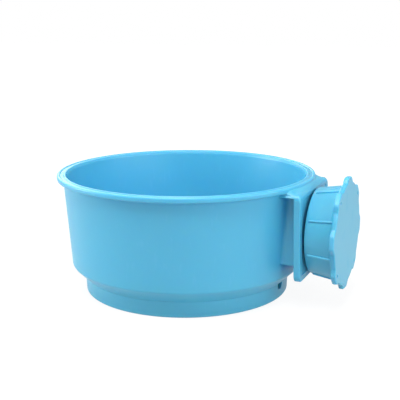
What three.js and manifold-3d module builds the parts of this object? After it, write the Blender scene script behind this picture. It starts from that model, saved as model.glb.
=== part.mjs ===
// Heated pet bowl that hangs on the wires of a cage.
// Millimetres, +Z up. The origin is on the bowl's axis, on the plane that the base stands on.
// +X points from the bowl to the clamp plate and its knob.
import * as THREE from "three";
import { mergeVertices } from "three/addons/utils/BufferGeometryUtils.js";
import Module from "manifold-3d";

const wasm = await Module();
wasm.setup();

// Clearances
const SEAT = 0.1; // between two fixed pieces that rest on each other
const FIT = 0.3; // between a piece and the hole or pocket that it drops into
const THREAD_CLEARANCE = 0.35; // all round the clamp thread
const CUT = 1; // how far a cutting tool runs past the face that it cuts

// Bowl moulding
const RIM_RADIUS = 80;
const BOWL_HEIGHT = 73.4;
const LIP_HEIGHT = 3.2;
const LIP_ROUND = 0.9;
const RIM_GROOVE_INSET = 2.8; // from the rim's outer edge to the groove's middle
const RIM_GROOVE_WIDTH = 2.6;
const RIM_GROOVE_DEPTH = 0.5;
const RIM_INNER_STEP = 1.8;
const RIM_INNER_CHAMFER = 0.7;
const LIP_OVERHANG = 3.8;
const WALL_TAPER = 4; // how much less the wall's radius is at its foot
const WALL_FOOT_HEIGHT = 17.2;
const WALL = 2;
const FLOOR_HEIGHT = 19;
const FLOOR = 2.4;
const FLOOR_FILLET = 5;
const SHOULDER_ROUND = 2.1;
const SKIRT_TOP_RADIUS = 64.3;
const SKIRT_TOP_HEIGHT = 9.5;
const SKIRT_TAPER = 0.4; // how much less the skirt's radius is at its foot
const SKIRT_WALL = 2.2;
const SKIRT_EDGE_ROUND = 0.6;

// Clamp plate, and the deck and block that join it to the bowl
const PLATE_REACH = 2.9; // how far the plate stands out past the rim
const PLATE = 4;
const PLATE_TOP = 70.5;
const PLATE_FOOT = 18.2;
const PLATE_TOP_HALF_WIDTH = 30.2;
const PLATE_FOOT_HALF_WIDTH = 27.4;
const PLATE_CORNER = 4.2;
const PLATE_TOP_ROUND = 2.6;
const PANEL_BORDER = 3.6;
const PANEL_DEPTH = 0.5;
const DECK = 2.3;
const APRON_RISE = 2.2;
const APRON_REACH = 6.5;
const NECK_HALF_WIDTH = 21.5;
const NECK_FOOT = 26;

// Clamp stud
const CLAMP_HEIGHT = 43.5;
const PITCH = 4;
const STUD_CORE_RADIUS = 6.2;
const STUD_THREAD_RADIUS = 8;
const THREAD_ROOT_WIDTH = 2.2;
const THREAD_CREST_WIDTH = 1;
const STUD_ACROSS_FLATS = 13.8;
const STUD_LENGTH = 15.6; // beyond the plate
const STUD_HEAD_ACROSS = 20;
const STUD_HEAD = 2.6;
const PLATE_OVER_HEAD = 2.6;

// Knob
const JAW_GAP = 1.2; // between the drum's end and the plate, at rest
const KNOB_LENGTH = 19.2;
const FLANGE = 3;
const LOBES = 8;
const LOBE_RADIUS = 33.3;
const NOTCH_RADIUS = 30.6;
const LOBE_FLAT_DEG = 5.5;
const LOBE_FLANK_DEG = 9;
const KNOB_REST_TURN_DEG = -3.1;
const DRUM_JAW_RADIUS = 25.5;
const DRUM_FLANGE_RADIUS = 28;
const DRUM_WALL = 2.2;
const JAW_RING_WIDTH = 4.5;
const JAW_RING = 2.2;
const GRIP_RIB_WIDTH = 0.9;
const GRIP_RIB_HEIGHT = 0.6;
const GRIP_RIB_INSET = 1.4;
const HUB_RADIUS = 12;
const WEB = 1.6;
const DIMPLES = 4;
const DIMPLE_CIRCLE_RADIUS = 29.5;
const DIMPLE_RADIUS = 0.9;
const DIMPLE_DEPTH = 0.7;

// Clamp washer: keyed on the stud's flats, snapped over the knob's hub
const WASHER_RADIUS = 20;
const WASHER = 2;
const WASHER_PROUD = 0.2; // how far it stands out of the drum's end
const WASHER_COLLAR = 1.5;
const SNAP_DEPTH = 0.9;
const SNAP_WIDTH = 1.1;
const SNAP_INSET = 2.9;

// Base cover, gasket and screws
const COVER = 2;
const GASKET = 1.2;
const GASKET_WIDTH = 1.6;
const LEDGE_WIDTH = 2.4;
const COVER_SCREWS = 4;
const COVER_SCREW_INSET = 5.3; // from the ledge's edge to the screws' circle
const FIRST_COVER_SCREW_DEG = 45;
const COVER_BOSS_RADIUS = 4.2;
const COVER_BOSS_HEIGHT = 4.4;
const COVER_HEAD_RECESS = 2.3;
const COVER_SCREW_LENGTH = 10.4;
const POST_RADIUS = 3.2;
const SCREW_HEAD_RADIUS = 2.8;
const SCREW_HEAD = 1.8;
const SCREW_SHANK_RADIUS = 1.35;
const CROSS_WIDTH = 0.7;
const CROSS_LENGTH = 3;
const CROSS_DEPTH = 0.9;

// Heater stack, from the bowl's floor down
const SPREADER = 1.5;
const SPREADER_INSET = 15.3; // from the ledge's edge
const SHEET = 0.6;
const SHEET_INSET = 1; // from the spreader's edge
const TRACK = 0.3;
const TRACK_WIDTH = 2.6;
const TRACK_STEP = 4.2;
const TRACK_INSET = 1.5; // from the sheets' edge
const TRACK_GAP_DEG = 14;
const INSULATION = 2.2;
const STACK_BORE_RADIUS = 9.6;
const RETAINER = 0.8;
const RETAINER_OVERHANG = 0.5; // past the spreader's edge
const RETAINER_SCREWS = 3;
const RETAINER_SCREW_INSET = 8.8; // from the ledge's edge to the screws' circle
const FIRST_RETAINER_SCREW_DEG = 60;
const RETAINER_EAR_RADIUS = 4.2;
const RETAINER_SCREW_LENGTH = 5.2;
const HEATER_PIN_RADIUS = 1.1;
const HEATER_PIN_LENGTH = 5.6;
const HEATER_PIN_COLLAR_RADIUS = 2;
const HEATER_PIN_COLLAR = 0.5;
const HEATER_PIN_HOLE_RADIUS = 2.6; // in the steel retainer, clear of the live pin

// Thermostat and thermal fuse
const THERMOSTAT_RADIUS = 6.8;
const THERMOSTAT_FOOT = 5.6;
const CAP_WALL = 0.5;
const CAP_FLANGE_RADIUS = 9;
const CAP_FLANGE = 0.8;
const TAB_WIDTH = 4.8;
const TAB_THICKNESS = 0.6;
const TAB_START = 1.6;
const TAB_REACH = 12;
const FUSE_RADIUS = 2;
const FUSE_LENGTH = 11;
const FUSE_LEAD_RADIUS = 0.5;
const FUSE_LEAD = 3.5;
const FUSE_X = 20;
const FUSE_Y = 19;
const CLIP_LENGTH = 5;
const CLIP_THICKNESS = 0.6;
const CLIP_FOOT = 4;

// Low-voltage inlet in the skirt, under the clamp plate
const INLET_Y = -4.8;
const INLET_HEIGHT = 8.6;
const INLET_HOLE_RADIUS = 3.2;
const INLET_SEAT_DEPTH = 0.5; // from the skirt's inner face to the seal's seat
const SOCKET_SIZE = 8.4;
const SOCKET_LENGTH = 14;
const SOCKET_BORE_RADIUS = 3.05;
const SOCKET_BORE_DEPTH = 9.5;
const SOCKET_PIN_RADIUS = 1;
const SOCKET_PIN_RECESS = 1.8;
const SOCKET_TAIL = 3;
const SEAL = 0.8;
const SEAL_RADIUS = 4.1;
const SPRING_WIDTH = 2.4;
const SPRING_THICKNESS = 0.4;
const SPRING_RECESS = 3.2;
const SPRING_DROP = 3.1; // from the socket's axis to the middle of the spring
const CRADLE_WALL = 1.4;
const CRADLE_HEIGHT = 8.6;

// Leads
const LEAD_RADIUS = 0.8;
const LEAD_SIDES = 8;
const LEAD_STEP = 2.6;

// Facets
const BOWL_SEGMENTS = 60;
const LAYER_SEGMENTS = 36;
const KNOB_SEGMENTS = 40;
const SMALL_SEGMENTS = 18;
const PIN_SEGMENTS = 10;
const THREAD_STEPS = 18; // for one turn
const TRACK_STEPS = 18; // for one ring

const bluePlastic = { color: 0x5db0d3, roughness: 0.38, metalness: 0 };
const steel = { color: 0xb9bcc0, roughness: 0.35, metalness: 1 };
const brass = { color: 0xc9a45c, roughness: 0.35, metalness: 1 };
const aluminium = { color: 0xc8cacd, roughness: 0.4, metalness: 1 };
const rubber = { color: 0x23262a, roughness: 0.85, metalness: 0 };
const blackPlastic = { color: 0x1b1c1f, roughness: 0.5, metalness: 0 };
const mica = { color: 0xb8ab8e, roughness: 0.7, metalness: 0 };
const felt = { color: 0xe4e0d5, roughness: 0.95, metalness: 0 };
const foil = { color: 0x9a9186, roughness: 0.4, metalness: 1 };
const redSleeve = { color: 0xa8322a, roughness: 0.55, metalness: 0 };
const blackSleeve = { color: 0x2a2a2c, roughness: 0.55, metalness: 0 };

const { degToRad } = THREE.MathUtils;
const hangingBowl = new THREE.Group();

function addPiece(name, solid, look) {
  const made = solid.getMesh();
  const geometry = new THREE.BufferGeometry();
  geometry.setAttribute("position", new THREE.BufferAttribute(made.vertProperties, 3));
  geometry.setIndex(new THREE.BufferAttribute(made.triVerts, 1));
  geometry.computeVertexNormals();
  const mesh = new THREE.Mesh(geometry, new THREE.MeshStandardMaterial(look));
  mesh.name = name;
  hangingBowl.add(mesh);
}

// Solids from three.js geometries

function toSolid(geometry) {
  const bare = geometry.clone();
  bare.deleteAttribute("normal");
  bare.deleteAttribute("uv");
  const merged = mergeVertices(bare, 1e-4);
  return new wasm.Manifold(
    new wasm.Mesh({
      numProp: 3,
      vertProperties: merged.attributes.position.array,
      triVerts: new Uint32Array(merged.index.array),
    }),
  );
}

const union = (solids) => solids.reduce((whole, next) => whole.add(next));
const cut = (solid, tools) => tools.reduce((left, tool) => left.subtract(tool), solid);
const at = (solid, places) => places.map(([x, y]) => solid.translate([x, y, 0]));
const about = (middle, half) => [middle - half, middle + half];

// A profile of [radius, height] points, counter-clockwise, turned about +Z.
function turned(profile, segments = SMALL_SEGMENTS) {
  const points = profile.map(([radius, height]) => new THREE.Vector2(radius, height));
  return toSolid(new THREE.LatheGeometry(points, segments).rotateX(Math.PI / 2));
}

// A profile of [radius, x] points turned about a line along +X.
function turnedX(profile, y, z, segments = SMALL_SEGMENTS) {
  const points = profile.map(([radius, x]) => new THREE.Vector2(radius, x));
  const geometry = new THREE.LatheGeometry(points, segments).rotateZ(-Math.PI / 2);
  return toSolid(geometry.translate(0, y, z));
}

function ringProfile(inner, outer, low, high) {
  return [[inner, low], [outer, low], [outer, high], [inner, high], [inner, low]];
}

function discProfile(radius, low, high) {
  return [[0, low], [radius, low], [radius, high], [0, high]];
}

const ring = (inner, outer, low, high, segments) =>
  turned(ringProfile(inner, outer, low, high), segments);

const disc = (radius, low, high, segments) => turned(discProfile(radius, low, high), segments);

const rodX = (radius, x0, x1, y, z, segments) =>
  turnedX(discProfile(radius, x0, x1), y, z, segments);

function box([x0, x1], [y0, y1], [z0, z1]) {
  const geometry = new THREE.BoxGeometry(x1 - x0, y1 - y0, z1 - z0);
  return toSolid(geometry.translate((x0 + x1) / 2, (y0 + y1) / 2, (z0 + z1) / 2));
}

function polygon(points) {
  return new THREE.Shape(points.map(([x, y]) => new THREE.Vector2(x, y)));
}

function extruded(outline, depth) {
  return new THREE.ExtrudeGeometry(outline, { depth, bevelEnabled: false });
}

// An outline drawn in Y and Z, extruded along +X.
function extrudedX(outline, x0, x1) {
  const axes = [
    new THREE.Vector3(0, 1, 0),
    new THREE.Vector3(0, 0, 1),
    new THREE.Vector3(1, 0, 0),
  ];
  const geometry = extruded(outline, x1 - x0);
  geometry.applyMatrix4(new THREE.Matrix4().makeBasis(...axes));
  return toSolid(geometry.translate(x0, 0, 0));
}

// An outline drawn in X and Z, extruded along Y.
function extrudedY(outline, y0, y1) {
  return toSolid(extruded(outline, y1 - y0).rotateX(Math.PI / 2).translate(0, y1, 0));
}

function extrudedZ(outline, z0, z1) {
  return toSolid(extruded(outline, z1 - z0).translate(0, 0, z0));
}

function arcPoints([cx, cy], radius, fromDeg, toDeg, steps) {
  return Array.from({ length: steps + 1 }, (_, i) => {
    const angle = degToRad(fromDeg + ((toDeg - fromDeg) * i) / steps);
    return [cx + radius * Math.cos(angle), cy + radius * Math.sin(angle)];
  });
}

function aroundZ(count, radius, firstDeg) {
  return Array.from({ length: count }, (_, i) => {
    const angle = degToRad(firstDeg + (360 * i) / count);
    return [radius * Math.cos(angle), radius * Math.sin(angle)];
  });
}

// Places that more than one piece follows

const WALL_TOP_RADIUS = RIM_RADIUS - LIP_OVERHANG;
const WALL_FOOT_RADIUS = WALL_TOP_RADIUS - WALL_TAPER;
const RIM_GROOVE_RADIUS = RIM_RADIUS - RIM_GROOVE_INSET;
const PLATE_FACE_X = RIM_RADIUS + PLATE_REACH;
const STUD_END_X = PLATE_FACE_X + STUD_LENGTH;
const KNOB_FACE_X = PLATE_FACE_X + JAW_GAP + KNOB_LENGTH;

const SKIRT_FOOT_RADIUS = SKIRT_TOP_RADIUS - SKIRT_TAPER;
const shoulderSlope = (WALL_FOOT_RADIUS - SKIRT_TOP_RADIUS) / (WALL_FOOT_HEIGHT - SKIRT_TOP_HEIGHT);
const lipFoot = BOWL_HEIGHT - LIP_HEIGHT;
const wallSlope = (WALL_TOP_RADIUS - WALL_FOOT_RADIUS) / (lipFoot - WALL_FOOT_HEIGHT);
const wallRadiusAt = (z) => WALL_FOOT_RADIUS + wallSlope * (z - WALL_FOOT_HEIGHT);
const floorUnderside = FLOOR_HEIGHT - FLOOR;
const skirtInnerRadius = SKIRT_FOOT_RADIUS - SKIRT_WALL;
const ledgeFoot = COVER + GASKET + 2 * SEAT;
const ledgeRadius = skirtInnerRadius - LEDGE_WIDTH;
const coverScrewCircle = ledgeRadius - COVER_SCREW_INSET;
const coverPosts = aroundZ(COVER_SCREWS, coverScrewCircle, FIRST_COVER_SCREW_DEG);
const coverPostFoot = COVER_BOSS_HEIGHT + SEAT;

const plateBackX = PLATE_FACE_X - PLATE;
const panelX = PLATE_FACE_X - PANEL_DEPTH;
const studHeadX = PLATE_FACE_X - PLATE_OVER_HEAD - STUD_HEAD;
const threadStartX = PLATE_FACE_X + THREAD_ROOT_WIDTH;
const threadEndX = STUD_END_X - THREAD_ROOT_WIDTH;

const jawX = PLATE_FACE_X + JAW_GAP;
const flangeX = KNOB_FACE_X - FLANGE;
const drumSlope = (DRUM_FLANGE_RADIUS - DRUM_JAW_RADIUS) / (flangeX - jawX);
const drumRadiusAt = (x) => DRUM_JAW_RADIUS + drumSlope * (x - jawX);
const washerX = jawX - WASHER_PROUD;
const hubX = washerX + WASHER + 2 * SEAT;
const snapX = hubX + SNAP_INSET;
const snapEndX = snapX + SNAP_WIDTH;

const spreaderTop = floorUnderside - SEAT;
const upperSheetTop = spreaderTop - SPREADER - SEAT;
const trackTop = upperSheetTop - SHEET - SEAT;
const lowerSheetTop = trackTop - TRACK - SEAT;
const insulationTop = lowerSheetTop - SHEET - SEAT;
const retainerTop = insulationTop - INSULATION - SEAT;
const retainerFoot = retainerTop - RETAINER;
const retainerScrewCircle = ledgeRadius - RETAINER_SCREW_INSET;
const retainerPosts = aroundZ(RETAINER_SCREWS, retainerScrewCircle, FIRST_RETAINER_SCREW_DEG);
const spreaderRadius = ledgeRadius - SPREADER_INSET;
const sheetRadius = spreaderRadius - SHEET_INSET;
const retainerRadius = spreaderRadius + RETAINER_OVERHANG;
const pinFoot = lowerSheetTop - HEATER_PIN_LENGTH;
const tabHeight = THERMOSTAT_FOOT - SEAT - TAB_THICKNESS / 2;
const fuseHeight = retainerFoot - 2 * SEAT - FUSE_RADIUS;

const inletSeatX = skirtInnerRadius - INLET_SEAT_DEPTH;
const socketX = inletSeatX - SEAL - 2 * SEAT;
const socketBackX = socketX - SOCKET_LENGTH;
const socketHalf = SOCKET_SIZE / 2;
const springHeight = INLET_HEIGHT - SPRING_DROP;

// The track's rings, an odd number of them, as many as the sheets hold. Its two ends are on the
// first and last ring, each beside the gap at +X.
const trackOuterRadius = sheetRadius - TRACK_INSET;
const trackPairs = Math.floor((trackOuterRadius - STACK_BORE_RADIUS - TRACK_STEP) / (2 * TRACK_STEP));
const trackRings = 2 * trackPairs + 1;
const trackRingRadius = (i) => trackOuterRadius - TRACK_STEP * i - TRACK_WIDTH / 2;
const trackEnds = [0, trackRings - 1].map((i) => {
  const radius = trackRingRadius(i);
  const side = i === 0 ? 1 : -1;
  const angle = side * (degToRad(TRACK_GAP_DEG) + TRACK_WIDTH / radius);
  return [radius * Math.cos(angle), radius * Math.sin(angle)];
});

// Bowl moulding: rim, wall, shoulder, skirt and floor, with the clamp plate in one piece with them

function bowlOuter() {
  const shoulderRun = WALL_FOOT_RADIUS - SKIRT_TOP_RADIUS;
  const shoulderRise = WALL_FOOT_HEIGHT - SKIRT_TOP_HEIGHT;
  const roundShare = SHOULDER_ROUND / Math.hypot(shoulderRun, shoulderRise);
  const roundTop = WALL_FOOT_HEIGHT + SHOULDER_ROUND;
  const grooveIn = RIM_GROOVE_RADIUS - RIM_GROOVE_WIDTH / 2;
  const grooveOut = RIM_GROOVE_RADIUS + RIM_GROOVE_WIDTH / 2;
  const grooveFloor = BOWL_HEIGHT - RIM_GROOVE_DEPTH;
  const lipCentre = [RIM_RADIUS - LIP_ROUND, BOWL_HEIGHT - LIP_ROUND];
  return turned(
    [
      [0, 0],
      [SKIRT_FOOT_RADIUS - SKIRT_EDGE_ROUND, 0],
      [SKIRT_FOOT_RADIUS, SKIRT_EDGE_ROUND],
      [SKIRT_TOP_RADIUS, SKIRT_TOP_HEIGHT],
      [WALL_FOOT_RADIUS - roundShare * shoulderRun, WALL_FOOT_HEIGHT - roundShare * shoulderRise],
      [WALL_FOOT_RADIUS - SHOULDER_ROUND / 8, WALL_FOOT_HEIGHT + SHOULDER_ROUND / 12],
      [wallRadiusAt(roundTop), roundTop],
      [WALL_TOP_RADIUS, lipFoot],
      [RIM_RADIUS - LIP_ROUND / 2, lipFoot],
      [RIM_RADIUS, lipFoot + LIP_ROUND / 2],
      ...arcPoints(lipCentre, LIP_ROUND, 0, 90, 3),
      [grooveOut, BOWL_HEIGHT],
      [grooveOut - RIM_GROOVE_DEPTH, grooveFloor],
      [grooveIn + RIM_GROOVE_DEPTH, grooveFloor],
      [grooveIn, BOWL_HEIGHT],
      [0, BOWL_HEIGHT],
    ],
    BOWL_SEGMENTS,
  );
}

function bowlInside() {
  const floorRadius = wallRadiusAt(FLOOR_HEIGHT) - WALL;
  const filletCentre = [floorRadius - FLOOR_FILLET, FLOOR_HEIGHT + FLOOR_FILLET];
  const innerTop = WALL_TOP_RADIUS - WALL;
  return turned(
    [
      [0, FLOOR_HEIGHT],
      ...arcPoints(filletCentre, FLOOR_FILLET, -90, 0, 4),
      [innerTop, BOWL_HEIGHT - RIM_INNER_STEP],
      [innerTop + RIM_INNER_CHAMFER, BOWL_HEIGHT],
      [innerTop + RIM_INNER_CHAMFER, BOWL_HEIGHT + CUT],
      [0, BOWL_HEIGHT + CUT],
    ],
    BOWL_SEGMENTS,
  );
}

// The space under the floor, down to the cover: a ledge for the gasket, then the shoulder's inside.
function baseCavity() {
  const slantWall = SKIRT_WALL * Math.hypot(1, shoulderSlope);
  const shoulderInnerAt = (z) => SKIRT_TOP_RADIUS - slantWall + shoulderSlope * (z - SKIRT_TOP_HEIGHT);
  const ledgeRun = SKIRT_TOP_RADIUS - slantWall - ledgeRadius;
  const ledgeTop = Math.max(SKIRT_TOP_HEIGHT - ledgeRun / shoulderSlope, ledgeFoot + SKIRT_WALL);
  return turned(
    [
      [0, -CUT],
      [skirtInnerRadius, -CUT],
      [skirtInnerRadius, ledgeFoot],
      [ledgeRadius, ledgeFoot],
      [ledgeRadius, ledgeTop],
      [shoulderInnerAt(floorUnderside), floorUnderside],
      [0, floorUnderside],
    ],
    BOWL_SEGMENTS,
  );
}

// The clamp plate's outline in Y and Z. Its sides draw in towards the foot.
function plateOutline(inset) {
  const low = PLATE_FOOT + inset;
  const high = PLATE_TOP - inset;
  const topHalf = PLATE_TOP_HALF_WIDTH - inset;
  const footHalf = PLATE_FOOT_HALF_WIDTH - inset;
  const corner = PLATE_CORNER - inset / 2;
  return polygon([
    ...arcPoints([footHalf - corner, low + corner], corner, -90, 0, 4),
    ...arcPoints([topHalf - corner, high - corner], corner, 0, 90, 4),
    ...arcPoints([corner - topHalf, high - corner], corner, 90, 180, 4),
    ...arcPoints([corner - footHalf, low + corner], corner, 180, 270, 4),
  ]);
}

function clampBracket() {
  const roundCentre = [PLATE_FACE_X - PLATE_TOP_ROUND, PLATE_TOP - PLATE_TOP_ROUND];
  const side = polygon([
    [0, PLATE_FOOT],
    [PLATE_FACE_X, PLATE_FOOT],
    ...arcPoints(roundCentre, PLATE_TOP_ROUND, 0, 90, 4),
    [0, PLATE_TOP],
  ]);
  const plate = box([plateBackX, PLATE_FACE_X], about(0, RIM_RADIUS), [0, BOWL_HEIGHT]);
  const deck = box([0, plateBackX + CUT], about(0, RIM_RADIUS), [PLATE_TOP - DECK, PLATE_TOP]);
  const neck = box([0, plateBackX + CUT], about(0, NECK_HALF_WIDTH), [NECK_FOOT, PLATE_TOP - CUT]);
  return union([plate, deck, neck])
    .intersect(extrudedX(plateOutline(0), 0, PLATE_FACE_X))
    .intersect(extrudedY(side, -PLATE_TOP_HALF_WIDTH, PLATE_TOP_HALF_WIDTH));
}

// The soft slope from the rim's outer edge down to the deck and the plate's rounded top edge.
function apron() {
  const start = RIM_RADIUS - LIP_ROUND;
  const low = PLATE_TOP - DECK;
  const slope = turned(
    [
      [start - WALL, low],
      [start + APRON_REACH, low],
      [start + APRON_REACH, PLATE_TOP],
      [start + APRON_REACH * 0.4, PLATE_TOP + APRON_RISE * 0.25],
      [start + APRON_REACH * 0.15, PLATE_TOP + APRON_RISE * 0.6],
      [start - WALL, PLATE_TOP + APRON_RISE],
      [start - WALL, low],
    ],
    BOWL_SEGMENTS,
  );
  const brow = PLATE_TOP - PLATE_TOP_ROUND * 0.3;
  const rise = BOWL_HEIGHT - brow;
  const edge = PLATE_FACE_X - PLATE_TOP_ROUND * 0.3;
  const half = PLATE_TOP_HALF_WIDTH - PLATE_CORNER * 0.6;
  const front = polygon([
    [0, low],
    [edge, low],
    [edge, brow],
    [edge - rise, BOWL_HEIGHT],
    [0, BOWL_HEIGHT],
  ]);
  const sides = polygon([
    [-half, low],
    [half, low],
    [half, brow],
    [half - rise, BOWL_HEIGHT],
    [rise - half, BOWL_HEIGHT],
    [-half, brow],
  ]);
  return slope
    .intersect(extrudedY(front, -PLATE_TOP_HALF_WIDTH, PLATE_TOP_HALF_WIDTH))
    .intersect(extrudedX(sides, 0, PLATE_FACE_X));
}

function hexagonX(across, x0, x1) {
  return rodX(across / Math.sqrt(3), x0, x1, 0, CLAMP_HEIGHT, 6);
}

function bowlBody() {
  const post = (foot) => disc(POST_RADIUS, foot, floorUnderside + SEAT);
  const screwHole = (foot, depth) =>
    disc(SCREW_SHANK_RADIUS + SEAT, foot - CUT, foot + depth, PIN_SEGMENTS);
  const coverHoleDepth = COVER_SCREW_LENGTH + COVER_HEAD_RECESS - COVER_BOSS_HEIGHT + FIT;
  const retainerHoleDepth = RETAINER_SCREW_LENGTH - RETAINER + FIT;
  const notchHalf = socketHalf + FIT;
  const shell = union([bowlOuter(), clampBracket(), apron()]);
  const hollow = cut(shell, [bowlInside(), baseCavity()]);
  const withPosts = union([
    hollow,
    ...at(post(coverPostFoot), coverPosts),
    ...at(post(retainerTop + SEAT), retainerPosts),
  ]);
  return cut(withPosts, [
    ...at(screwHole(coverPostFoot, coverHoleDepth), coverPosts),
    ...at(screwHole(retainerTop + SEAT, retainerHoleDepth), retainerPosts),
    hexagonX(STUD_HEAD_ACROSS + 2 * SEAT, studHeadX - SEAT, studHeadX + STUD_HEAD + SEAT),
    rodX(STUD_THREAD_RADIUS + SEAT, studHeadX, PLATE_FACE_X + CUT, 0, CLAMP_HEIGHT),
    extrudedX(plateOutline(PANEL_BORDER), panelX, PLATE_FACE_X + CUT),
    rodX(INLET_HOLE_RADIUS, inletSeatX - CUT, RIM_RADIUS, INLET_Y, INLET_HEIGHT),
    box(
      [ledgeRadius - LEDGE_WIDTH, inletSeatX],
      about(INLET_Y, notchHalf),
      [INLET_HEIGHT - socketHalf - SEAT, INLET_HEIGHT + notchHalf],
    ),
  ]);
}

// Clamp stud: a coarse right-hand thread, flattened on two sides, on a head moulded into the plate

// A closed helical ridge. Its section is a trapezium.
function threadRidge(rootRadius, crestRadius, rootWidth, crestWidth, startX, turns) {
  const corners = [
    [-rootWidth / 2, rootRadius],
    [-crestWidth / 2, crestRadius],
    [crestWidth / 2, crestRadius],
    [rootWidth / 2, rootRadius],
  ];
  const steps = Math.round(turns * THREAD_STEPS);
  const positions = [];
  const index = [];
  for (let i = 0; i <= steps; i++) {
    const angle = (2 * Math.PI * i) / THREAD_STEPS;
    const middle = startX + (PITCH * i) / THREAD_STEPS;
    for (const [along, radius] of corners) {
      positions.push(middle + along, -radius * Math.sin(angle));
      positions.push(CLAMP_HEIGHT + radius * Math.cos(angle));
    }
  }
  const quad = (a, b, c, d) => index.push(a, b, c, a, c, d);
  for (let i = 0; i < steps; i++) {
    for (let j = 0; j < 4; j++) {
      const here = 4 * i + j;
      const beside = 4 * i + ((j + 1) % 4);
      quad(here, here + 4, beside + 4, beside);
    }
  }
  const last = 4 * steps;
  quad(0, 1, 2, 3);
  quad(last + 3, last + 2, last + 1, last);
  const geometry = new THREE.BufferGeometry();
  geometry.setAttribute("position", new THREE.Float32BufferAttribute(positions, 3));
  geometry.setIndex(index);
  return toSolid(geometry);
}

function clampStud() {
  const core = rodX(STUD_CORE_RADIUS, studHeadX + SEAT, STUD_END_X, 0, CLAMP_HEIGHT);
  const ridge = threadRidge(
    STUD_CORE_RADIUS - THREAD_CLEARANCE,
    STUD_THREAD_RADIUS,
    THREAD_ROOT_WIDTH + THREAD_CLEARANCE,
    THREAD_CREST_WIDTH,
    threadStartX,
    (threadEndX - threadStartX) / PITCH,
  );
  const flats = box([0, KNOB_FACE_X], about(0, STUD_ACROSS_FLATS / 2), [0, BOWL_HEIGHT]);
  const shank = rodX(STUD_THREAD_RADIUS, studHeadX + SEAT, panelX, 0, CLAMP_HEIGHT);
  const head = hexagonX(STUD_HEAD_ACROSS, studHeadX, studHeadX + STUD_HEAD);
  return union([union([core, ridge]).intersect(flats), shank, head]);
}

// The space that the knob's hub leaves for the stud's thread, in step with it.
function threadCutter(x0, x1) {
  const turnsBefore = Math.ceil((threadStartX - x0) / PITCH + 1);
  const startX = threadStartX - PITCH * turnsBefore;
  const ridge = threadRidge(
    STUD_CORE_RADIUS,
    STUD_THREAD_RADIUS + THREAD_CLEARANCE,
    THREAD_ROOT_WIDTH + 2 * THREAD_CLEARANCE,
    THREAD_CREST_WIDTH + 2 * THREAD_CLEARANCE,
    startX,
    Math.ceil((x1 - startX) / PITCH) + 1,
  );
  const reach = box([x0, x1], about(0, RIM_RADIUS), [0, BOWL_HEIGHT]);
  const bore = rodX(STUD_CORE_RADIUS + THREAD_CLEARANCE, x0, x1, 0, CLAMP_HEIGHT);
  return ridge.intersect(reach).add(bore);
}

// Knob: lobed flange with a closed face, ribbed hollow drum, threaded hub and four webs

function lobeRadiusAt(offset) {
  const along = (Math.abs(offset) - LOBE_FLAT_DEG) / LOBE_FLANK_DEG;
  const fall = Math.min(Math.max(along, 0), 1);
  return NOTCH_RADIUS + ((LOBE_RADIUS - NOTCH_RADIUS) * (1 + Math.cos(Math.PI * fall))) / 2;
}

// A point beside the clamp's axis. Its angle starts at the knob's top and grows towards -Y.
function besideClamp(radius, deg) {
  const angle = degToRad(deg + KNOB_REST_TURN_DEG);
  return [-radius * Math.sin(angle), CLAMP_HEIGHT + radius * Math.cos(angle)];
}

function turnedAboutClamp(solid, deg) {
  const level = solid.translate([0, 0, -CLAMP_HEIGHT]);
  return level.rotate([deg + KNOB_REST_TURN_DEG, 0, 0]).translate([0, 0, CLAMP_HEIGHT]);
}

function lobedFlange() {
  const third = LOBE_FLANK_DEG / 3;
  const flank = [0, 1, 2, 3].map((i) => LOBE_FLAT_DEG + i * third);
  const before = flank.map((deg) => -deg).reverse();
  const offsets = [...before, 0, ...flank, 180 / LOBES];
  const points = Array.from({ length: LOBES }, (_, lobe) =>
    offsets.map((offset) => besideClamp(lobeRadiusAt(offset), (360 * lobe) / LOBES + offset)),
  );
  return extrudedX(polygon(points.flat()), flangeX, KNOB_FACE_X);
}

function drumShell() {
  const ringInner = DRUM_JAW_RADIUS - JAW_RING_WIDTH;
  const ringBackX = jawX + JAW_RING;
  const endX = flangeX + SEAT;
  return turnedX(
    [
      [ringInner, jawX],
      [DRUM_JAW_RADIUS, jawX],
      [drumRadiusAt(endX), endX],
      [drumRadiusAt(endX) - DRUM_WALL, endX],
      [drumRadiusAt(ringBackX) - DRUM_WALL, ringBackX],
      [ringInner, ringBackX],
      [ringInner, jawX],
    ],
    0,
    CLAMP_HEIGHT,
    KNOB_SEGMENTS,
  );
}

function gripRibs() {
  const startX = jawX + GRIP_RIB_INSET;
  const endX = flangeX + SEAT;
  const root = (x) => CLAMP_HEIGHT + drumRadiusAt(x) - DRUM_WALL / 2;
  const crest = (x) => CLAMP_HEIGHT + drumRadiusAt(x) + GRIP_RIB_HEIGHT;
  const outline = polygon([
    [startX, root(startX)],
    [endX, root(endX)],
    [endX, crest(endX)],
    [startX, crest(startX)],
  ]);
  const rib = extrudedY(outline, -GRIP_RIB_WIDTH / 2, GRIP_RIB_WIDTH / 2);
  return Array.from({ length: LOBES }, (_, i) => turnedAboutClamp(rib, (360 * (i + 0.5)) / LOBES));
}

function hubWebs() {
  const startX = snapEndX + 2 * FIT;
  const reach = drumRadiusAt(startX) - DRUM_WALL / 2;
  const plank = box([startX, flangeX + SEAT], about(0, reach), about(CLAMP_HEIGHT, WEB / 2));
  return [0, 90].map((deg) => turnedAboutClamp(plank, deg));
}

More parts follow.
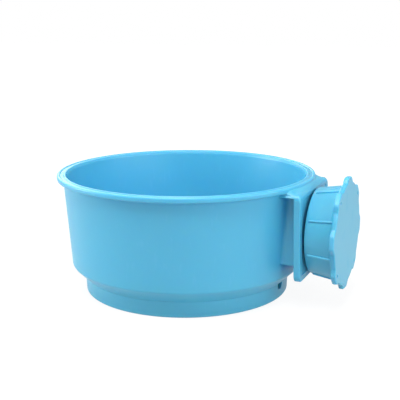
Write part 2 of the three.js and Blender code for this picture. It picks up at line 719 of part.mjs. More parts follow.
function clampKnob() {
  const hub = rodX(HUB_RADIUS, hubX, flangeX + SEAT, 0, CLAMP_HEIGHT);
  const snapGroove = turnedX(
    ringProfile(HUB_RADIUS - SNAP_DEPTH, HUB_RADIUS + CUT, snapX - FIT, snapEndX + FIT),
    0,
    CLAMP_HEIGHT,
  );
  const dimples = Array.from({ length: DIMPLES }, (_, i) => {
    const [y, z] = besideClamp(DIMPLE_CIRCLE_RADIUS, (360 * (i + 0.5)) / DIMPLES);
    return rodX(DIMPLE_RADIUS, KNOB_FACE_X - DIMPLE_DEPTH, KNOB_FACE_X + CUT, y, z, PIN_SEGMENTS);
  });
  const solid = union([drumShell(), hub, lobedFlange(), ...gripRibs(), ...hubWebs()]);
  return cut(solid, [snapGroove, threadCutter(hubX - CUT, flangeX - SEAT), ...dimples]);
}

// Clamp washer: it slides with the knob but can't turn, so that the knob doesn't scuff the wires

function clampWasher() {
  const backX = washerX + WASHER;
  const collarInner = HUB_RADIUS + FIT;
  const collarOuter = collarInner + WASHER_COLLAR;
  const snapInner = HUB_RADIUS - SNAP_DEPTH + FIT;
  const solid = turnedX(
    [
      [0, washerX],
      [WASHER_RADIUS, washerX],
      [WASHER_RADIUS, backX],
      [collarOuter, backX],
      [collarOuter, snapEndX],
      [snapInner, snapEndX],
      [snapInner, snapX],
      [collarInner, snapX],
      [collarInner, backX],
      [0, backX],
    ],
    0,
    CLAMP_HEIGHT,
    KNOB_SEGMENTS,
  );
  const through = [washerX - CUT, backX + CUT];
  const half = STUD_ACROSS_FLATS / 2 + FIT;
  const round = rodX(STUD_THREAD_RADIUS + THREAD_CLEARANCE, ...through, 0, CLAMP_HEIGHT);
  return solid.subtract(round.intersect(box(through, about(0, half), [0, BOWL_HEIGHT])));
}

// Base cover: it closes the skirt and holds the inlet socket against its seal

function baseCover() {
  const plate = disc(skirtInnerRadius - FIT, 0, COVER, BOWL_SEGMENTS);
  const boss = disc(COVER_BOSS_RADIUS, COVER / 2, COVER_BOSS_HEIGHT);
  const cradleX = [socketBackX + CUT, ledgeRadius - GASKET_WIDTH];
  const wallMiddle = socketHalf + SEAT + CRADLE_WALL / 2;
  const stopMiddle = socketHalf - CRADLE_WALL / 2;
  const stopX = [socketBackX - SEAT - CRADLE_WALL, socketBackX - SEAT];
  const cradle = [-1, 1].map((side) => {
    const wallY = about(INLET_Y + side * wallMiddle, CRADLE_WALL / 2);
    return box(cradleX, wallY, [COVER / 2, CRADLE_HEIGHT]);
  });
  const stops = [-1, 1].map((side) => {
    const stopY = about(INLET_Y + side * stopMiddle, CRADLE_WALL / 2);
    return box(stopX, stopY, [COVER / 2, INLET_HEIGHT]);
  });
  const shelfTop = INLET_HEIGHT - socketHalf - SEAT;
  const shelf = box(cradleX, about(INLET_Y, wallMiddle), [COVER / 2, shelfTop]);
  const recess = disc(SCREW_HEAD_RADIUS + FIT, -CUT, COVER_HEAD_RECESS);
  const hole = disc(SCREW_SHANK_RADIUS + FIT, 0, COVER_BOSS_HEIGHT + CUT, PIN_SEGMENTS);
  const solid = union([plate, ...at(boss, coverPosts), ...cradle, ...stops, shelf]);
  return cut(solid, [...at(recess, coverPosts), ...at(hole, coverPosts)]);
}

function coverGasket() {
  const outer = skirtInnerRadius - FIT - SEAT;
  return ring(outer - GASKET_WIDTH, outer, COVER + SEAT, COVER + SEAT + GASKET, LAYER_SEGMENTS);
}

// A cross-head screw driven upwards. Its head bears at the given height.
function screw(bearing, length) {
  const foot = bearing - SCREW_HEAD;
  const tip = bearing + length;
  const solid = turned(
    [
      [0, foot],
      [SCREW_HEAD_RADIUS * 0.75, foot],
      [SCREW_HEAD_RADIUS, foot + SCREW_HEAD / 2],
      [SCREW_HEAD_RADIUS, bearing],
      [SCREW_SHANK_RADIUS, bearing],
      [SCREW_SHANK_RADIUS, tip - SCREW_SHANK_RADIUS],
      [SCREW_SHANK_RADIUS / 3, tip],
      [0, tip],
    ],
    PIN_SEGMENTS,
  );
  const long = about(0, CROSS_LENGTH / 2);
  const short = about(0, CROSS_WIDTH / 2);
  const deep = [foot - CUT, foot + CROSS_DEPTH];
  return cut(solid, [box(long, short, deep), box(short, long, deep)]);
}

// Heater stack: a foil track between two sheets, pressed to the floor by felt and a steel retainer

function heaterTrack() {
  const span = [trackTop - TRACK, trackTop];
  const endDeg = 360 - TRACK_GAP_DEG;
  const rings = Array.from({ length: trackRings }, (_, i) => {
    const middle = trackRingRadius(i);
    const outside = arcPoints([0, 0], middle + TRACK_WIDTH / 2, TRACK_GAP_DEG, endDeg, TRACK_STEPS);
    const inside = arcPoints([0, 0], middle - TRACK_WIDTH / 2, endDeg, TRACK_GAP_DEG, TRACK_STEPS);
    return extrudedZ(polygon([...outside, ...inside]), ...span);
  });
  const links = Array.from({ length: trackRings - 1 }, (_, i) => {
    const side = i % 2 === 0 ? -1 : 1;
    const reach = [trackRingRadius(i + 1), trackRingRadius(i)];
    const link = box(reach, about((side * TRACK_WIDTH) / 2, TRACK_WIDTH / 2), span);
    return link.rotate([0, 0, side * TRACK_GAP_DEG]);
  });
  return union([...rings, ...links]);
}

function stackLayer(top, thickness) {
  return ring(STACK_BORE_RADIUS, sheetRadius, top - thickness, top, LAYER_SEGMENTS);
}

function piercedLayer(top, thickness) {
  const hole = disc(HEATER_PIN_RADIUS + FIT, top - thickness - CUT, top + CUT, PIN_SEGMENTS);
  return cut(stackLayer(top, thickness), at(hole, trackEnds));
}

function retainerPlate() {
  const span = [retainerFoot, retainerTop];
  const plate = disc(retainerRadius, ...span, LAYER_SEGMENTS);
  const reach = [retainerRadius / 2, retainerScrewCircle];
  const arm = box(reach, about(0, RETAINER_EAR_RADIUS), span);
  const arms = retainerPosts.map((_, i) => {
    return arm.rotate([0, 0, FIRST_RETAINER_SCREW_DEG + (360 * i) / RETAINER_SCREWS]);
  });
  const ears = at(disc(RETAINER_EAR_RADIUS, ...span), retainerPosts);
  const hole = (radius) => disc(radius, retainerFoot - CUT, retainerTop + CUT);
  return cut(union([plate, ...arms, ...ears]), [
    hole(THERMOSTAT_RADIUS + FIT),
    ...at(hole(HEATER_PIN_HOLE_RADIUS), trackEnds),
    ...at(hole(SCREW_SHANK_RADIUS + FIT), retainerPosts),
  ]);
}

function heaterPin() {
  const collarFoot = pinFoot + HEATER_PIN_RADIUS;
  const collarTop = collarFoot + HEATER_PIN_COLLAR;
  return turned(
    [
      [0, pinFoot],
      [HEATER_PIN_RADIUS, pinFoot],
      [HEATER_PIN_RADIUS, collarFoot],
      [HEATER_PIN_COLLAR_RADIUS, collarFoot],
      [HEATER_PIN_COLLAR_RADIUS, collarTop],
      [HEATER_PIN_RADIUS, collarTop],
      [HEATER_PIN_RADIUS, lowerSheetTop],
      [0, lowerSheetTop],
    ],
    PIN_SEGMENTS,
  );
}

// Thermostat: a disc switch in an aluminium cap that touches the spreader plate

const capTop = spreaderTop - SPREADER - SEAT;

function thermostatCap() {
  const flangeFoot = retainerTop + SEAT;
  const inner = THERMOSTAT_RADIUS + SEAT;
  const outer = inner + CAP_WALL;
  return turned([
    [inner, flangeFoot],
    [CAP_FLANGE_RADIUS, flangeFoot],
    [CAP_FLANGE_RADIUS, flangeFoot + CAP_FLANGE],
    [outer, flangeFoot + CAP_FLANGE],
    [outer, capTop],
    [0, capTop],
    [0, capTop - CAP_WALL],
    [inner, capTop - CAP_WALL],
    [inner, flangeFoot],
  ]);
}

function thermostatTab(turnDeg) {
  const half = TAB_WIDTH / 2;
  const outline = polygon([
    [-half, TAB_START],
    [half, TAB_START],
    [half, TAB_REACH - half / 2],
    [half / 2, TAB_REACH],
    [-half / 2, TAB_REACH],
    [-half, TAB_REACH - half / 2],
  ]);
  return extrudedZ(outline, ...about(tabHeight, TAB_THICKNESS / 2)).rotate([0, 0, turnDeg]);
}

function thermalFuse() {
  const half = FUSE_LENGTH / 2;
  const end = half + FUSE_LEAD;
  const nose = FUSE_RADIUS / 2;
  const profile = [
    [0, -end],
    [FUSE_LEAD_RADIUS, -end],
    [FUSE_LEAD_RADIUS, -half],
    [nose, -half],
    [FUSE_RADIUS, nose - half],
    [FUSE_RADIUS, half],
    [FUSE_LEAD_RADIUS, half],
    [FUSE_LEAD_RADIUS, end],
    [0, end],
  ];
  const placed = profile.map(([radius, along]) => [radius, FUSE_X + along]);
  return turnedX(placed, FUSE_Y, fuseHeight, PIN_SEGMENTS);
}

// A strap under the fuse, with its two feet against the retainer plate.
function fuseClip() {
  const inner = FUSE_RADIUS + SEAT;
  const outer = inner + CLIP_THICKNESS;
  const top = retainerFoot - SEAT - fuseHeight;
  const footLow = top - CLIP_THICKNESS;
  const outline = [
    [-outer, footLow],
    ...arcPoints([0, 0], outer, 180, 360, 10),
    [outer, footLow],
    [outer + CLIP_FOOT, footLow],
    [outer + CLIP_FOOT, top],
    [inner, top],
    ...arcPoints([0, 0], inner, 360, 180, 10),
    [-inner, top],
    [-outer - CLIP_FOOT, top],
    [-outer - CLIP_FOOT, footLow],
  ];
  const placed = outline.map(([y, z]) => [FUSE_Y + y, fuseHeight + z]);
  return extrudedX(polygon(placed), ...about(FUSE_X, CLIP_LENGTH / 2));
}

// Inlet: a socket for a round low-voltage plug, with a centre pin, a side contact and a seal

function inletSocket() {
  const x = [socketBackX, socketX];
  const housing = box(x, about(INLET_Y, socketHalf), about(INLET_HEIGHT, socketHalf));
  const boreX = socketX - SOCKET_BORE_DEPTH;
  const pinHole = SOCKET_PIN_RADIUS + SEAT;
  return cut(housing, [
    rodX(SOCKET_BORE_RADIUS, boreX, socketX + CUT, INLET_Y, INLET_HEIGHT),
    rodX(pinHole, socketBackX - CUT, socketX, INLET_Y, INLET_HEIGHT, PIN_SEGMENTS),
    box(
      [socketBackX - CUT, socketX - SPRING_RECESS + SEAT],
      about(INLET_Y, SPRING_WIDTH / 2 + SEAT),
      about(springHeight, SPRING_THICKNESS / 2 + SEAT),
    ),
  ]);
}

function inletPin() {
  const tip = socketX - SOCKET_PIN_RECESS;
  const point = SOCKET_PIN_RADIUS / 2;
  return turnedX(
    [
      [0, socketBackX - SOCKET_TAIL],
      [SOCKET_PIN_RADIUS, socketBackX - SOCKET_TAIL],
      [SOCKET_PIN_RADIUS, tip - point],
      [point, tip],
      [0, tip],
    ],
    INLET_Y,
    INLET_HEIGHT,
    PIN_SEGMENTS,
  );
}

function inletSpring() {
  const reach = [socketBackX - SOCKET_TAIL, socketX - SPRING_RECESS];
  return box(reach, about(INLET_Y, SPRING_WIDTH / 2), about(springHeight, SPRING_THICKNESS / 2));
}

function inletSeal() {
  const faceX = socketX + SEAT;
  const profile = ringProfile(INLET_HOLE_RADIUS + SEAT, SEAL_RADIUS, faceX, faceX + SEAL);
  return turnedX(profile, INLET_Y, INLET_HEIGHT);
}

// Leads: sleeved wires through the base, from joint to joint

function lead(points) {
  const curve = new THREE.CatmullRomCurve3(points.map((point) => new THREE.Vector3(...point)));
  const steps = Math.ceil(curve.getLength() / LEAD_STEP);
  const lastDeg = 360 - 360 / LEAD_SIDES;
  const round = polygon(arcPoints([0, 0], LEAD_RADIUS, 0, lastDeg, LEAD_SIDES - 1));
  return toSolid(new THREE.ExtrudeGeometry(round, { steps, extrudePath: curve }));
}

const tailX = socketBackX - SOCKET_TAIL - FIT;
const fuseEnd = FUSE_LENGTH / 2 + FUSE_LEAD + FIT;
const tabEnd = TAB_REACH + FIT;
const pinEnd = pinFoot - FIT;
const lowRun = COVER_BOSS_HEIGHT + LEAD_RADIUS;
const [[outerPinX, outerPinY], [innerPinX, innerPinY]] = trackEnds;

const inletToFuse = [
  [tailX, INLET_Y, INLET_HEIGHT],
  [tailX - 4, INLET_Y + 1.6, INLET_HEIGHT - 0.2],
  [FUSE_X + 15, 5, INLET_HEIGHT - 0.8],
  [FUSE_X + 13.6, FUSE_Y - 6, fuseHeight],
  [FUSE_X + 12.4, FUSE_Y - 1, fuseHeight],
  [FUSE_X + fuseEnd, FUSE_Y, fuseHeight],
];
const fuseToThermostat = [
  [FUSE_X - fuseEnd, FUSE_Y, fuseHeight],
  [6.4, FUSE_Y - 0.3, fuseHeight - 0.6],
  [1.6, FUSE_Y - 1.8, tabHeight + 0.4],
  [0, tabEnd + 2.2, tabHeight],
  [0, tabEnd, tabHeight],
];
const thermostatToHeater = [
  [0, -tabEnd, tabHeight],
  [0, -tabEnd - 2.4, tabHeight],
  [4, -tabEnd - 5, tabHeight],
  [innerPinX - 3, -tabEnd - 2, tabHeight],
  [innerPinX - 0.2, innerPinY - 3, tabHeight + 0.2],
  [innerPinX, innerPinY - 0.4, pinEnd - 1.3],
  [innerPinX, innerPinY, pinEnd],
];
const heaterToInlet = [
  [outerPinX, outerPinY, pinEnd],
  [outerPinX, outerPinY - 0.6, pinEnd - 1.5],
  [outerPinX - 1.2, outerPinY - 4.5, lowRun],
  [outerPinX - 1.8, outerPinY - 11, lowRun],
  [tailX - 3.6, INLET_Y + 0.6, springHeight - 0.1],
  [tailX, INLET_Y, springHeight],
];

addPiece("bowl_body", bowlBody(), bluePlastic);
addPiece("clamp_stud", clampStud(), bluePlastic);
addPiece("clamp_washer", clampWasher(), bluePlastic);
addPiece("clamp_knob", clampKnob(), bluePlastic);

addPiece("base_cover", baseCover(), bluePlastic);
addPiece("cover_gasket", coverGasket(), rubber);
const coverScrew = screw(COVER_HEAD_RECESS - SEAT, COVER_SCREW_LENGTH);
for (const [i, placed] of at(coverScrew, coverPosts).entries()) {
  addPiece(`cover_screw_${i + 1}`, placed, steel);
}

const spreader = disc(spreaderRadius, spreaderTop - SPREADER, spreaderTop, LAYER_SEGMENTS);
addPiece("spreader_plate", spreader, aluminium);
addPiece("heater_sheet_upper", stackLayer(upperSheetTop, SHEET), mica);
addPiece("heater_track", heaterTrack(), foil);
addPiece("heater_sheet_lower", piercedLayer(lowerSheetTop, SHEET), mica);
addPiece("insulation_pad", piercedLayer(insulationTop, INSULATION), felt);
addPiece("retainer_plate", retainerPlate(), steel);
const retainerScrew = screw(retainerFoot - SEAT, RETAINER_SCREW_LENGTH);
for (const [i, placed] of at(retainerScrew, retainerPosts).entries()) {
  addPiece(`retainer_screw_${i + 1}`, placed, steel);
}
for (const [i, placed] of at(heaterPin(), trackEnds).entries()) {
  addPiece(`heater_pin_${i + 1}`, placed, brass);
}

addPiece("thermostat_cap", thermostatCap(), aluminium);
const thermostatTop = capTop - CAP_WALL - SEAT;
const thermostat = disc(THERMOSTAT_RADIUS, THERMOSTAT_FOOT, thermostatTop);
addPiece("thermostat_body", thermostat, blackPlastic);
addPiece("thermostat_tab_1", thermostatTab(0), brass);
addPiece("thermostat_tab_2", thermostatTab(180), brass);
addPiece("thermal_fuse", thermalFuse(), steel);
addPiece("fuse_clip", fuseClip(), steel);

addPiece("inlet_socket", inletSocket(), blackPlastic);
addPiece("inlet_pin", inletPin(), brass);
addPiece("inlet_spring", inletSpring(), brass);
addPiece("inlet_seal", inletSeal(), rubber);
addPiece("lead_inlet_to_fuse", lead(inletToFuse), redSleeve);
addPiece("lead_fuse_to_thermostat", lead(fuseToThermostat), redSleeve);
addPiece("lead_thermostat_to_heater", lead(thermostatToHeater), redSleeve);
addPiece("lead_heater_to_inlet", lead(heaterToInlet), blackSleeve);

export default hangingBowl;
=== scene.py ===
import math

import bmesh
import bpy
from mathutils import Matrix, Vector


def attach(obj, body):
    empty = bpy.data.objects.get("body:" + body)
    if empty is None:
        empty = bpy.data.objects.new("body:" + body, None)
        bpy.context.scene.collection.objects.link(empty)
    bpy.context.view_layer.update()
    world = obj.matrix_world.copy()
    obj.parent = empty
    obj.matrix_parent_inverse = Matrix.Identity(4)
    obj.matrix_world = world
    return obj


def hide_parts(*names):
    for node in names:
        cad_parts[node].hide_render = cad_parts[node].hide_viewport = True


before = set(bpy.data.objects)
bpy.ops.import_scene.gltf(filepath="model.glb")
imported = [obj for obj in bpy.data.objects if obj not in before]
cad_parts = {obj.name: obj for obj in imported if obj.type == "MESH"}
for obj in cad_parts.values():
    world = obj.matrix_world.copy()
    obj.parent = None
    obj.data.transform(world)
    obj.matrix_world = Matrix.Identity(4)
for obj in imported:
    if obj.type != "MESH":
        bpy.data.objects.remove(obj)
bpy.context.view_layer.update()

# Bowl moulding
# Rim, wall, skirt and floor, in one piece with the deck, block and clamp plate. Injection-moulded
# polypropylene with a satin skin. Below the floor it is open until the cover closes it, with a
# ledge for the gasket and posts for the screws of the cover and the retainer.

METRES = 0.001
RIM_RADIUS = 80
RIM_TOP = 73.4
LIP_FOOT = 70.2
WALL_TOP_RADIUS = 76.2
WALL_FOOT_RADIUS = 72.2
WALL_FOOT = 17.2
FLOOR_TOP = 19
FLOOR_FOOT = 16.6
SKIRT_FOOT_RADIUS = 63.9
SKIRT_TOP_RADIUS = 64.3
SKIRT_TOP = 9.5
COVER_ROOM_RADIUS = 61.7
BASE_ROOM_RADIUS = 59.3
LEDGE_FOOT = 3.4
RIM_GROOVE_FOOT = 72.85
BOWL_SEGMENTS = 240
CLAMP_HEIGHT = 43.5
PLATE_FACE = 82.9
PLATE_BACK = 78.9
PLATE_TOP = 70.5
PLATE_FOOT = 18.2
PLATE_TOP_HALF = 30.2
PLATE_FOOT_HALF = 27.4
PLATE_CORNER = 4.2
BROW_ROUND = 2.6
PLATE_EDGE_ROUND = 0.7
NECK_HALF = 21.5
NECK_FOOT = 26
NECK_CORNER = 1.3
STUD_RADIUS = 8
STUD_HEAD_ACROSS = 20
INLET_Y = -4.8
INLET_HEIGHT = 8.6
INLET_HOLE_RADIUS = 3.2
COVER_POST_CIRCLE = 54
RETAINER_POST_CIRCLE = 50.5
POST_RADIUS = 3.2
POST_HOLE_RADIUS = 1.45


def feed(tree, socket, value):
    """Links a field to a socket, or sets the socket to a plain value."""
    if isinstance(value, Field):
        tree.links.new(value.socket, socket)
    else:
        socket.default_value = value


class Field:
    """A value that varies from place to place. Arithmetic on it adds Math nodes to its tree."""

    def __init__(self, tree, socket):
        self.tree = tree
        self.socket = socket

    def maths(self, operation, *terms, clamp=False):
        node = self.tree.nodes.new("ShaderNodeMath")
        node.operation = operation
        node.use_clamp = clamp
        for socket, term in zip(node.inputs, terms):
            feed(self.tree, socket, term)
        return Field(self.tree, node.outputs[0])

    def __add__(self, other):
        return self.maths("ADD", self, other)

    def __radd__(self, other):
        return self.maths("ADD", other, self)

    def __sub__(self, other):
        return self.maths("SUBTRACT", self, other)

    def __rsub__(self, other):
        return self.maths("SUBTRACT", other, self)

    def __mul__(self, other):
        return self.maths("MULTIPLY", self, other)

    def __rmul__(self, other):
        return self.maths("MULTIPLY", other, self)

    def __truediv__(self, other):
        return self.maths("DIVIDE", self, other)

    def __pow__(self, other):
        return self.maths("POWER", self, other)

    def clamped(self):
        return self.maths("MULTIPLY", self, 1, clamp=True)

    def size(self):
        return self.maths("ABSOLUTE", self)

    def cosine(self):
        return self.maths("COSINE", self)

    def sine(self):
        return self.maths("SINE", self)


class Plan:
    """The nodes of one finish or of one grown shape."""

    def __init__(self, tree):
        self.tree = tree

    def node(self, kind, settings=None, sockets=None, output=0):
        made = self.tree.nodes.new(kind)
        for name, value in (settings or {}).items():
            setattr(made, name, value)
        for name, value in (sockets or {}).items():
            feed(self.tree, made.inputs[name], value)
        return Field(self.tree, made.outputs[output])

    def parts(self, vector):
        split = self.node("ShaderNodeSeparateXYZ", {}, {0: vector}).socket.node
        return [Field(self.tree, socket) for socket in split.outputs]

    def vector(self, x, y, z):
        return self.node("ShaderNodeCombineXYZ", {}, {0: x, 1: y, 2: z})


class Finish(Plan):
    """A material. Its pattern is read at the place on the object, in metres."""

    def __init__(self, name, **constants):
        self.material = bpy.data.materials.new(name)
        self.material.use_nodes = True
        super().__init__(self.material.node_tree)
        self.shader = next(n for n in self.tree.nodes if n.type == "BSDF_PRINCIPLED")
        for socket, value in constants.items():
            self.shader.inputs[socket.replace("_", " ")].default_value = value
        self.place = self.node("ShaderNodeTexCoord", output="Object")
        self.x, self.y, self.z = self.parts(self.place)

    def set(self, **fields):
        for socket, field in fields.items():
            feed(self.tree, self.shader.inputs[socket.replace("_", " ")], field)

    def noise(self, scale, detail=2.0, stretch=(1, 1, 1)):
        where = self.node("ShaderNodeMapping", {}, {"Vector": self.place, "Scale": stretch})
        sockets = {"Vector": where, "Scale": scale, "Detail": detail}
        return self.node("ShaderNodeTexNoise", {}, sockets, "Fac")

    def colour(self, share, first, second):
        sockets = {0: share, 6: (*first, 1) if isinstance(first, tuple) else first}
        sockets[7] = (*second, 1) if isinstance(second, tuple) else second
        return self.node("ShaderNodeMix", {"data_type": "RGBA"}, sockets, 2)

    def relief(self, height, depth, below=None):
        sockets = {"Strength": 1.0, "Distance": depth, "Height": height}
        if below is not None:
            sockets["Normal"] = below
        return self.node("ShaderNodeBump", {}, sockets, "Normal")


def satin_blue(name, wear_and_highlights=None):
    """Moulded polypropylene: a fine spark-eroded grain, faint flow clouds, rubbed edges and painted
    highlights.

    Light spreads a little way through it, blue furthest.
    """
    made = Finish(name, IOR=1.49, Subsurface_Weight=0.45, Subsurface_Scale=0.004)
    made.shader.inputs["Subsurface Radius"].default_value = (0.12, 0.55, 1.0)
    clouds = made.noise(16, 3)
    flow = made.noise(45, 2, (1, 1, 0.6))
    scuffs = made.noise(700, 3, (1, 0.15, 0.15)) + made.noise(700, 3, (0.15, 1, 0.15))
    scratched = ((scuffs - 1.16) * 9).clamped()
    # This mask marks rubbed wear and also painted highlights along ridges, and both are mixed in paler.
    rubbed_and_highlit = (wear_and_highlights(made) * (0.55 + 0.9 * made.noise(420, 3))).clamped() if wear_and_highlights else 0.0
    base = made.colour(clouds, (0.071, 0.421, 0.624), (0.085, 0.451, 0.652))
    marked = made.colour(scratched * 0.10, base, (0.16, 0.52, 0.76))
    made.set(
        Base_Color=made.colour(rubbed_and_highlit * 0.5 if wear_and_highlights else 0.0, marked, (0.13, 0.50, 0.74)),
        Roughness=0.31 + 0.08 * clouds + 0.08 * scratched + rubbed_and_highlit * 0.12,
        Normal=made.relief(flow, 0.000025, made.relief(made.noise(1900, 2), 0.000012)),
    )
    return made


def rounded(corners, steps=5):
    """The points of an outline. A corner's third number is the radius that rounds it off."""
    points = []
    for i, corner in enumerate(corners):
        here = Vector(corner[:2])
        if len(corner) == 2:
            points.append(tuple(here))
            continue
        before = (Vector(corners[i - 1][:2]) - here).normalized()
        after = (Vector(corners[(i + 1) % len(corners)][:2]) - here).normalized()
        half = before.angle(after) / 2
        reach = corner[2] / math.tan(half)
        centre = here + (before + after).normalized() * (corner[2] / math.sin(half))
        start = here + before * reach - centre
        end = here + after * reach - centre
        first = math.atan2(start.y, start.x)
        turn = math.remainder(math.atan2(end.y, end.x) - first, 2 * math.pi)
        for k in range(steps + 1):
            angle = first + turn * k / steps
            points.append((centre.x + corner[2] * math.cos(angle), centre.y + corner[2] * math.sin(angle)))
    return points


def arc(centre, radius, start_deg, end_deg, steps):
    turns = [math.radians(start_deg + (end_deg - start_deg) * k / steps) for k in range(steps + 1)]
    return [(centre[0] + radius * math.cos(t), centre[1] + radius * math.sin(t)) for t in turns]


def as_object(name, body):
    bmesh.ops.remove_doubles(body, verts=body.verts, dist=1e-5)
    bmesh.ops.recalc_face_normals(body, faces=body.faces)
    mesh = bpy.data.meshes.new(name)
    body.to_mesh(mesh)
    body.free()
    made = bpy.data.objects.new(name, mesh)
    bpy.context.scene.collection.objects.link(made)
    return made


def turned(name, profile, segments=48):
    """A body turned about +Z from (radius, height) points, closed through the axis or as a ring."""
    body = bmesh.new()
    rings = []
    for radius, height in profile:
        if radius < 1e-6:
            rings.append([body.verts.new((0, 0, height))] * segments)
            continue
        turns = [2 * math.pi * i / segments for i in range(segments)]
        rings.append([body.verts.new((radius * math.cos(t), radius * math.sin(t), height)) for t in turns])
    for low, high in zip(rings, rings[1:] + rings[:1]):
        for i in range(segments):
            j = (i + 1) % segments
            corners = list(dict.fromkeys([low[i], low[j], high[j], high[i]]))
            if len(corners) > 2:
                body.faces.new(corners)
    return as_object(name, body)


def disc(name, radius, low, high, segments=32):
    return turned(name, [(0, low), (radius, low), (radius, high), (0, high)], segments)


def slab(name, outline, low, high, across, edge=0):
    """An outline made solid from low to high along the axis across, with its edges rounded."""
    order = {"X": lambda a, b, h: (h, a, b), "Y": lambda a, b, h: (a, h, b), "Z": lambda a, b, h: (a, b, h)}
    body = bmesh.new()
    ends = [[body.verts.new(order[across](a, b, h)) for a, b in outline] for h in (low, high)]
    for end in ends:
        body.faces.new(end)
    for i in range(len(outline)):
        j = (i + 1) % len(outline)
        body.faces.new([ends[0][i], ends[0][j], ends[1][j], ends[1][i]])
    made = as_object(name, body)
    if edge:
        rounding = made.modifiers.new("edge", "BEVEL")
        rounding.width = edge
        rounding.segments = 3
        rounding.angle_limit = math.radians(40)
        settle(made)
    return made


def block(name, x, y, z, edge=0):
    outline = [(y[0], z[0]), (y[1], z[0]), (y[1], z[1]), (y[0], z[1])]
    return slab(name, outline, x[0], x[1], "X", edge)


def settle(made):
    """Keeps what the modifiers make of an object as its plain mesh."""
    shape = made.evaluated_get(bpy.context.evaluated_depsgraph_get())
    mesh = bpy.data.meshes.new_from_object(shape)
    made.modifiers.clear()
    made.data = mesh


def combine(made, tools, operation):
    """Unites a body with others, or cuts them from it, and removes them."""
    for tool in tools:
        step = made.modifiers.new("step", "BOOLEAN")
        step.object = tool
        step.operation = operation
        step.solver = "MANIFOLD"
        settle(made)
        bpy.data.objects.remove(tool)
    return made


def lay(made, matrix):
    made.data.transform(matrix)
    return made


def finished(made, finish, body, nodes):
    """Brings a piece to metres, shades it evenly, gives it its finish and puts it on its body."""
    lay(made, Matrix.Scale(METRES, 4))
    made.data.materials.clear()
    made.data.materials.append(finish.material)
    made.data.shade_smooth()
    made.data.set_sharp_from_angle(angle=math.radians(33))
    made.modifiers.new("even_shading", "WEIGHTED_NORMAL").keep_sharp = True
    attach(made, body)
    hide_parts(*nodes)
    return made


def on_circle(count, radius, first_deg):
    turns = [math.radians(first_deg + 360 * i / count) for i in range(count)]
    return [Matrix.Translation((radius * math.cos(t), radius * math.sin(t), 0)) for t in turns]


bowl = turned(
    "bowl_moulding",
    rounded(
        [
            (COVER_ROOM_RADIUS, 0, 0.3),
            (SKIRT_FOOT_RADIUS, 0, 0.6),
            (SKIRT_TOP_RADIUS, SKIRT_TOP, 0.7),
            (WALL_FOOT_RADIUS, WALL_FOOT, 2.8),
            (WALL_TOP_RADIUS, LIP_FOOT, 0.9),
            (RIM_RADIUS, LIP_FOOT, 1.0),
            (RIM_RADIUS, RIM_TOP, 1.0),
            (78.6, RIM_TOP, 0.5),
            (78.0, RIM_GROOVE_FOOT, 0.4),
            (76.4, RIM_GROOVE_FOOT, 0.4),
            (75.8, RIM_TOP, 0.5),
            (74.9, RIM_TOP, 0.4),
            (74.2, 71.6, 2.0),
            (70.34, FLOOR_TOP, 5),
            (0, FLOOR_TOP),
            (0, FLOOR_FOOT),
            (68.4, FLOOR_FOOT, 0.6),
            (BASE_ROOM_RADIUS, 7.7, 0.5),
            (BASE_ROOM_RADIUS, LEDGE_FOOT),
            (COVER_ROOM_RADIUS, LEDGE_FOOT),
        ]
    ),
    BOWL_SEGMENTS,
)


def plate_ring(side_inset, top_inset, side_back, top_back):
    """One ring of points round the clamp plate, pulled in and set back from its face."""
    low = PLATE_FOOT + side_inset
    high = PLATE_TOP - top_inset
    top_half = PLATE_TOP_HALF - side_inset
    foot_half = PLATE_FOOT_HALF - side_inset
    corner = PLATE_CORNER - top_inset / 2
    steps = 8
    ring = []
    for at, start, sign in [
        ((foot_half - corner, low + corner), -90, 0),
        ((top_half - corner, high - corner), 0, 1),
        ((corner - top_half, high - corner), 90, -1),
        ((corner - foot_half, low + corner), 180, 0),
    ]:
        for k, (y, z) in enumerate(arc(at, corner, start, start + 90, steps)):
            share = {0: 0, 1: k / steps, -1: 1 - k / steps}[sign]
            share = share * share * (3 - 2 * share)
            ring.append((PLATE_FACE - side_back - (top_back - side_back) * share, y, z))
    return ring


def clamp_plate():
    """Rings from the back edge over the rounded sides and brow to the bead and the dished middle."""
    thickness = PLATE_FACE - PLATE_BACK
    back_edge = [(0.5, 0), (0.15, 0.15), (0, 0.5)]
    rings = [plate_ring(inset, inset, thickness - rise, thickness - rise) for inset, rise in back_edge]
    edge, brow, steps = PLATE_EDGE_ROUND, BROW_ROUND, 6
    for k in range(steps + 1):
        turn = math.pi / 2 * k / steps
        lift, run = 1 - math.sin(turn), 1 - math.cos(turn)
        rings.append(plate_ring(edge * run, brow * run, edge * lift, brow * lift))
    # How far each ring is pulled in from the sides and from the top, and how deep it lies.
    border = [(1.0, 2.7, 0.03), (1.4, 2.8, 0.18), (2.5, 2.95, 0.2), (2.8, 3.1, 0.17), (3.1, 3.3, 0.03)]
    border += [(3.3, 3.45, 0), (3.55, 3.6, 0.05), (3.7, 3.75, 0.42), (3.85, 3.9, 0.5)]
    rings += [plate_ring(side, top, back, back) for side, top, back in border]
    body = bmesh.new()
    made = [[body.verts.new(point) for point in ring] for ring in rings]
    for near, far in zip(made, made[1:]):
        for i in range(len(near)):
            j = (i + 1) % len(near)
            body.faces.new([near[i], near[j], far[j], far[i]])
    body.faces.new(made[0])
    body.faces.new(made[-1])
    return as_object("plate", body)


def apron_top(x, y):
    """The soft slope from the rim's outer edge down to the deck and the plate's brow."""
    slope_run, slope_rise, sink, least = 7.2, 2.35, 0.12, 69.25
    out = (math.hypot(x, y) - RIM_RADIUS + 0.9) / slope_run
    height = PLATE_TOP + slope_rise * (1 - min(max(out, 0), 1)) ** 2.2 - sink
    brow = 3.1
    past = x - (PLATE_FACE - 0.1 - brow)
    height -= brow - math.sqrt(max(brow * brow - past * past, 0)) if past > 0 else 0
    side_round, side_start = 5, 25.2
    side = abs(y) - side_start
    height -= side_round - math.sqrt(side_round**2 - side * side) if side > 0 else 0
    return max(height, least)


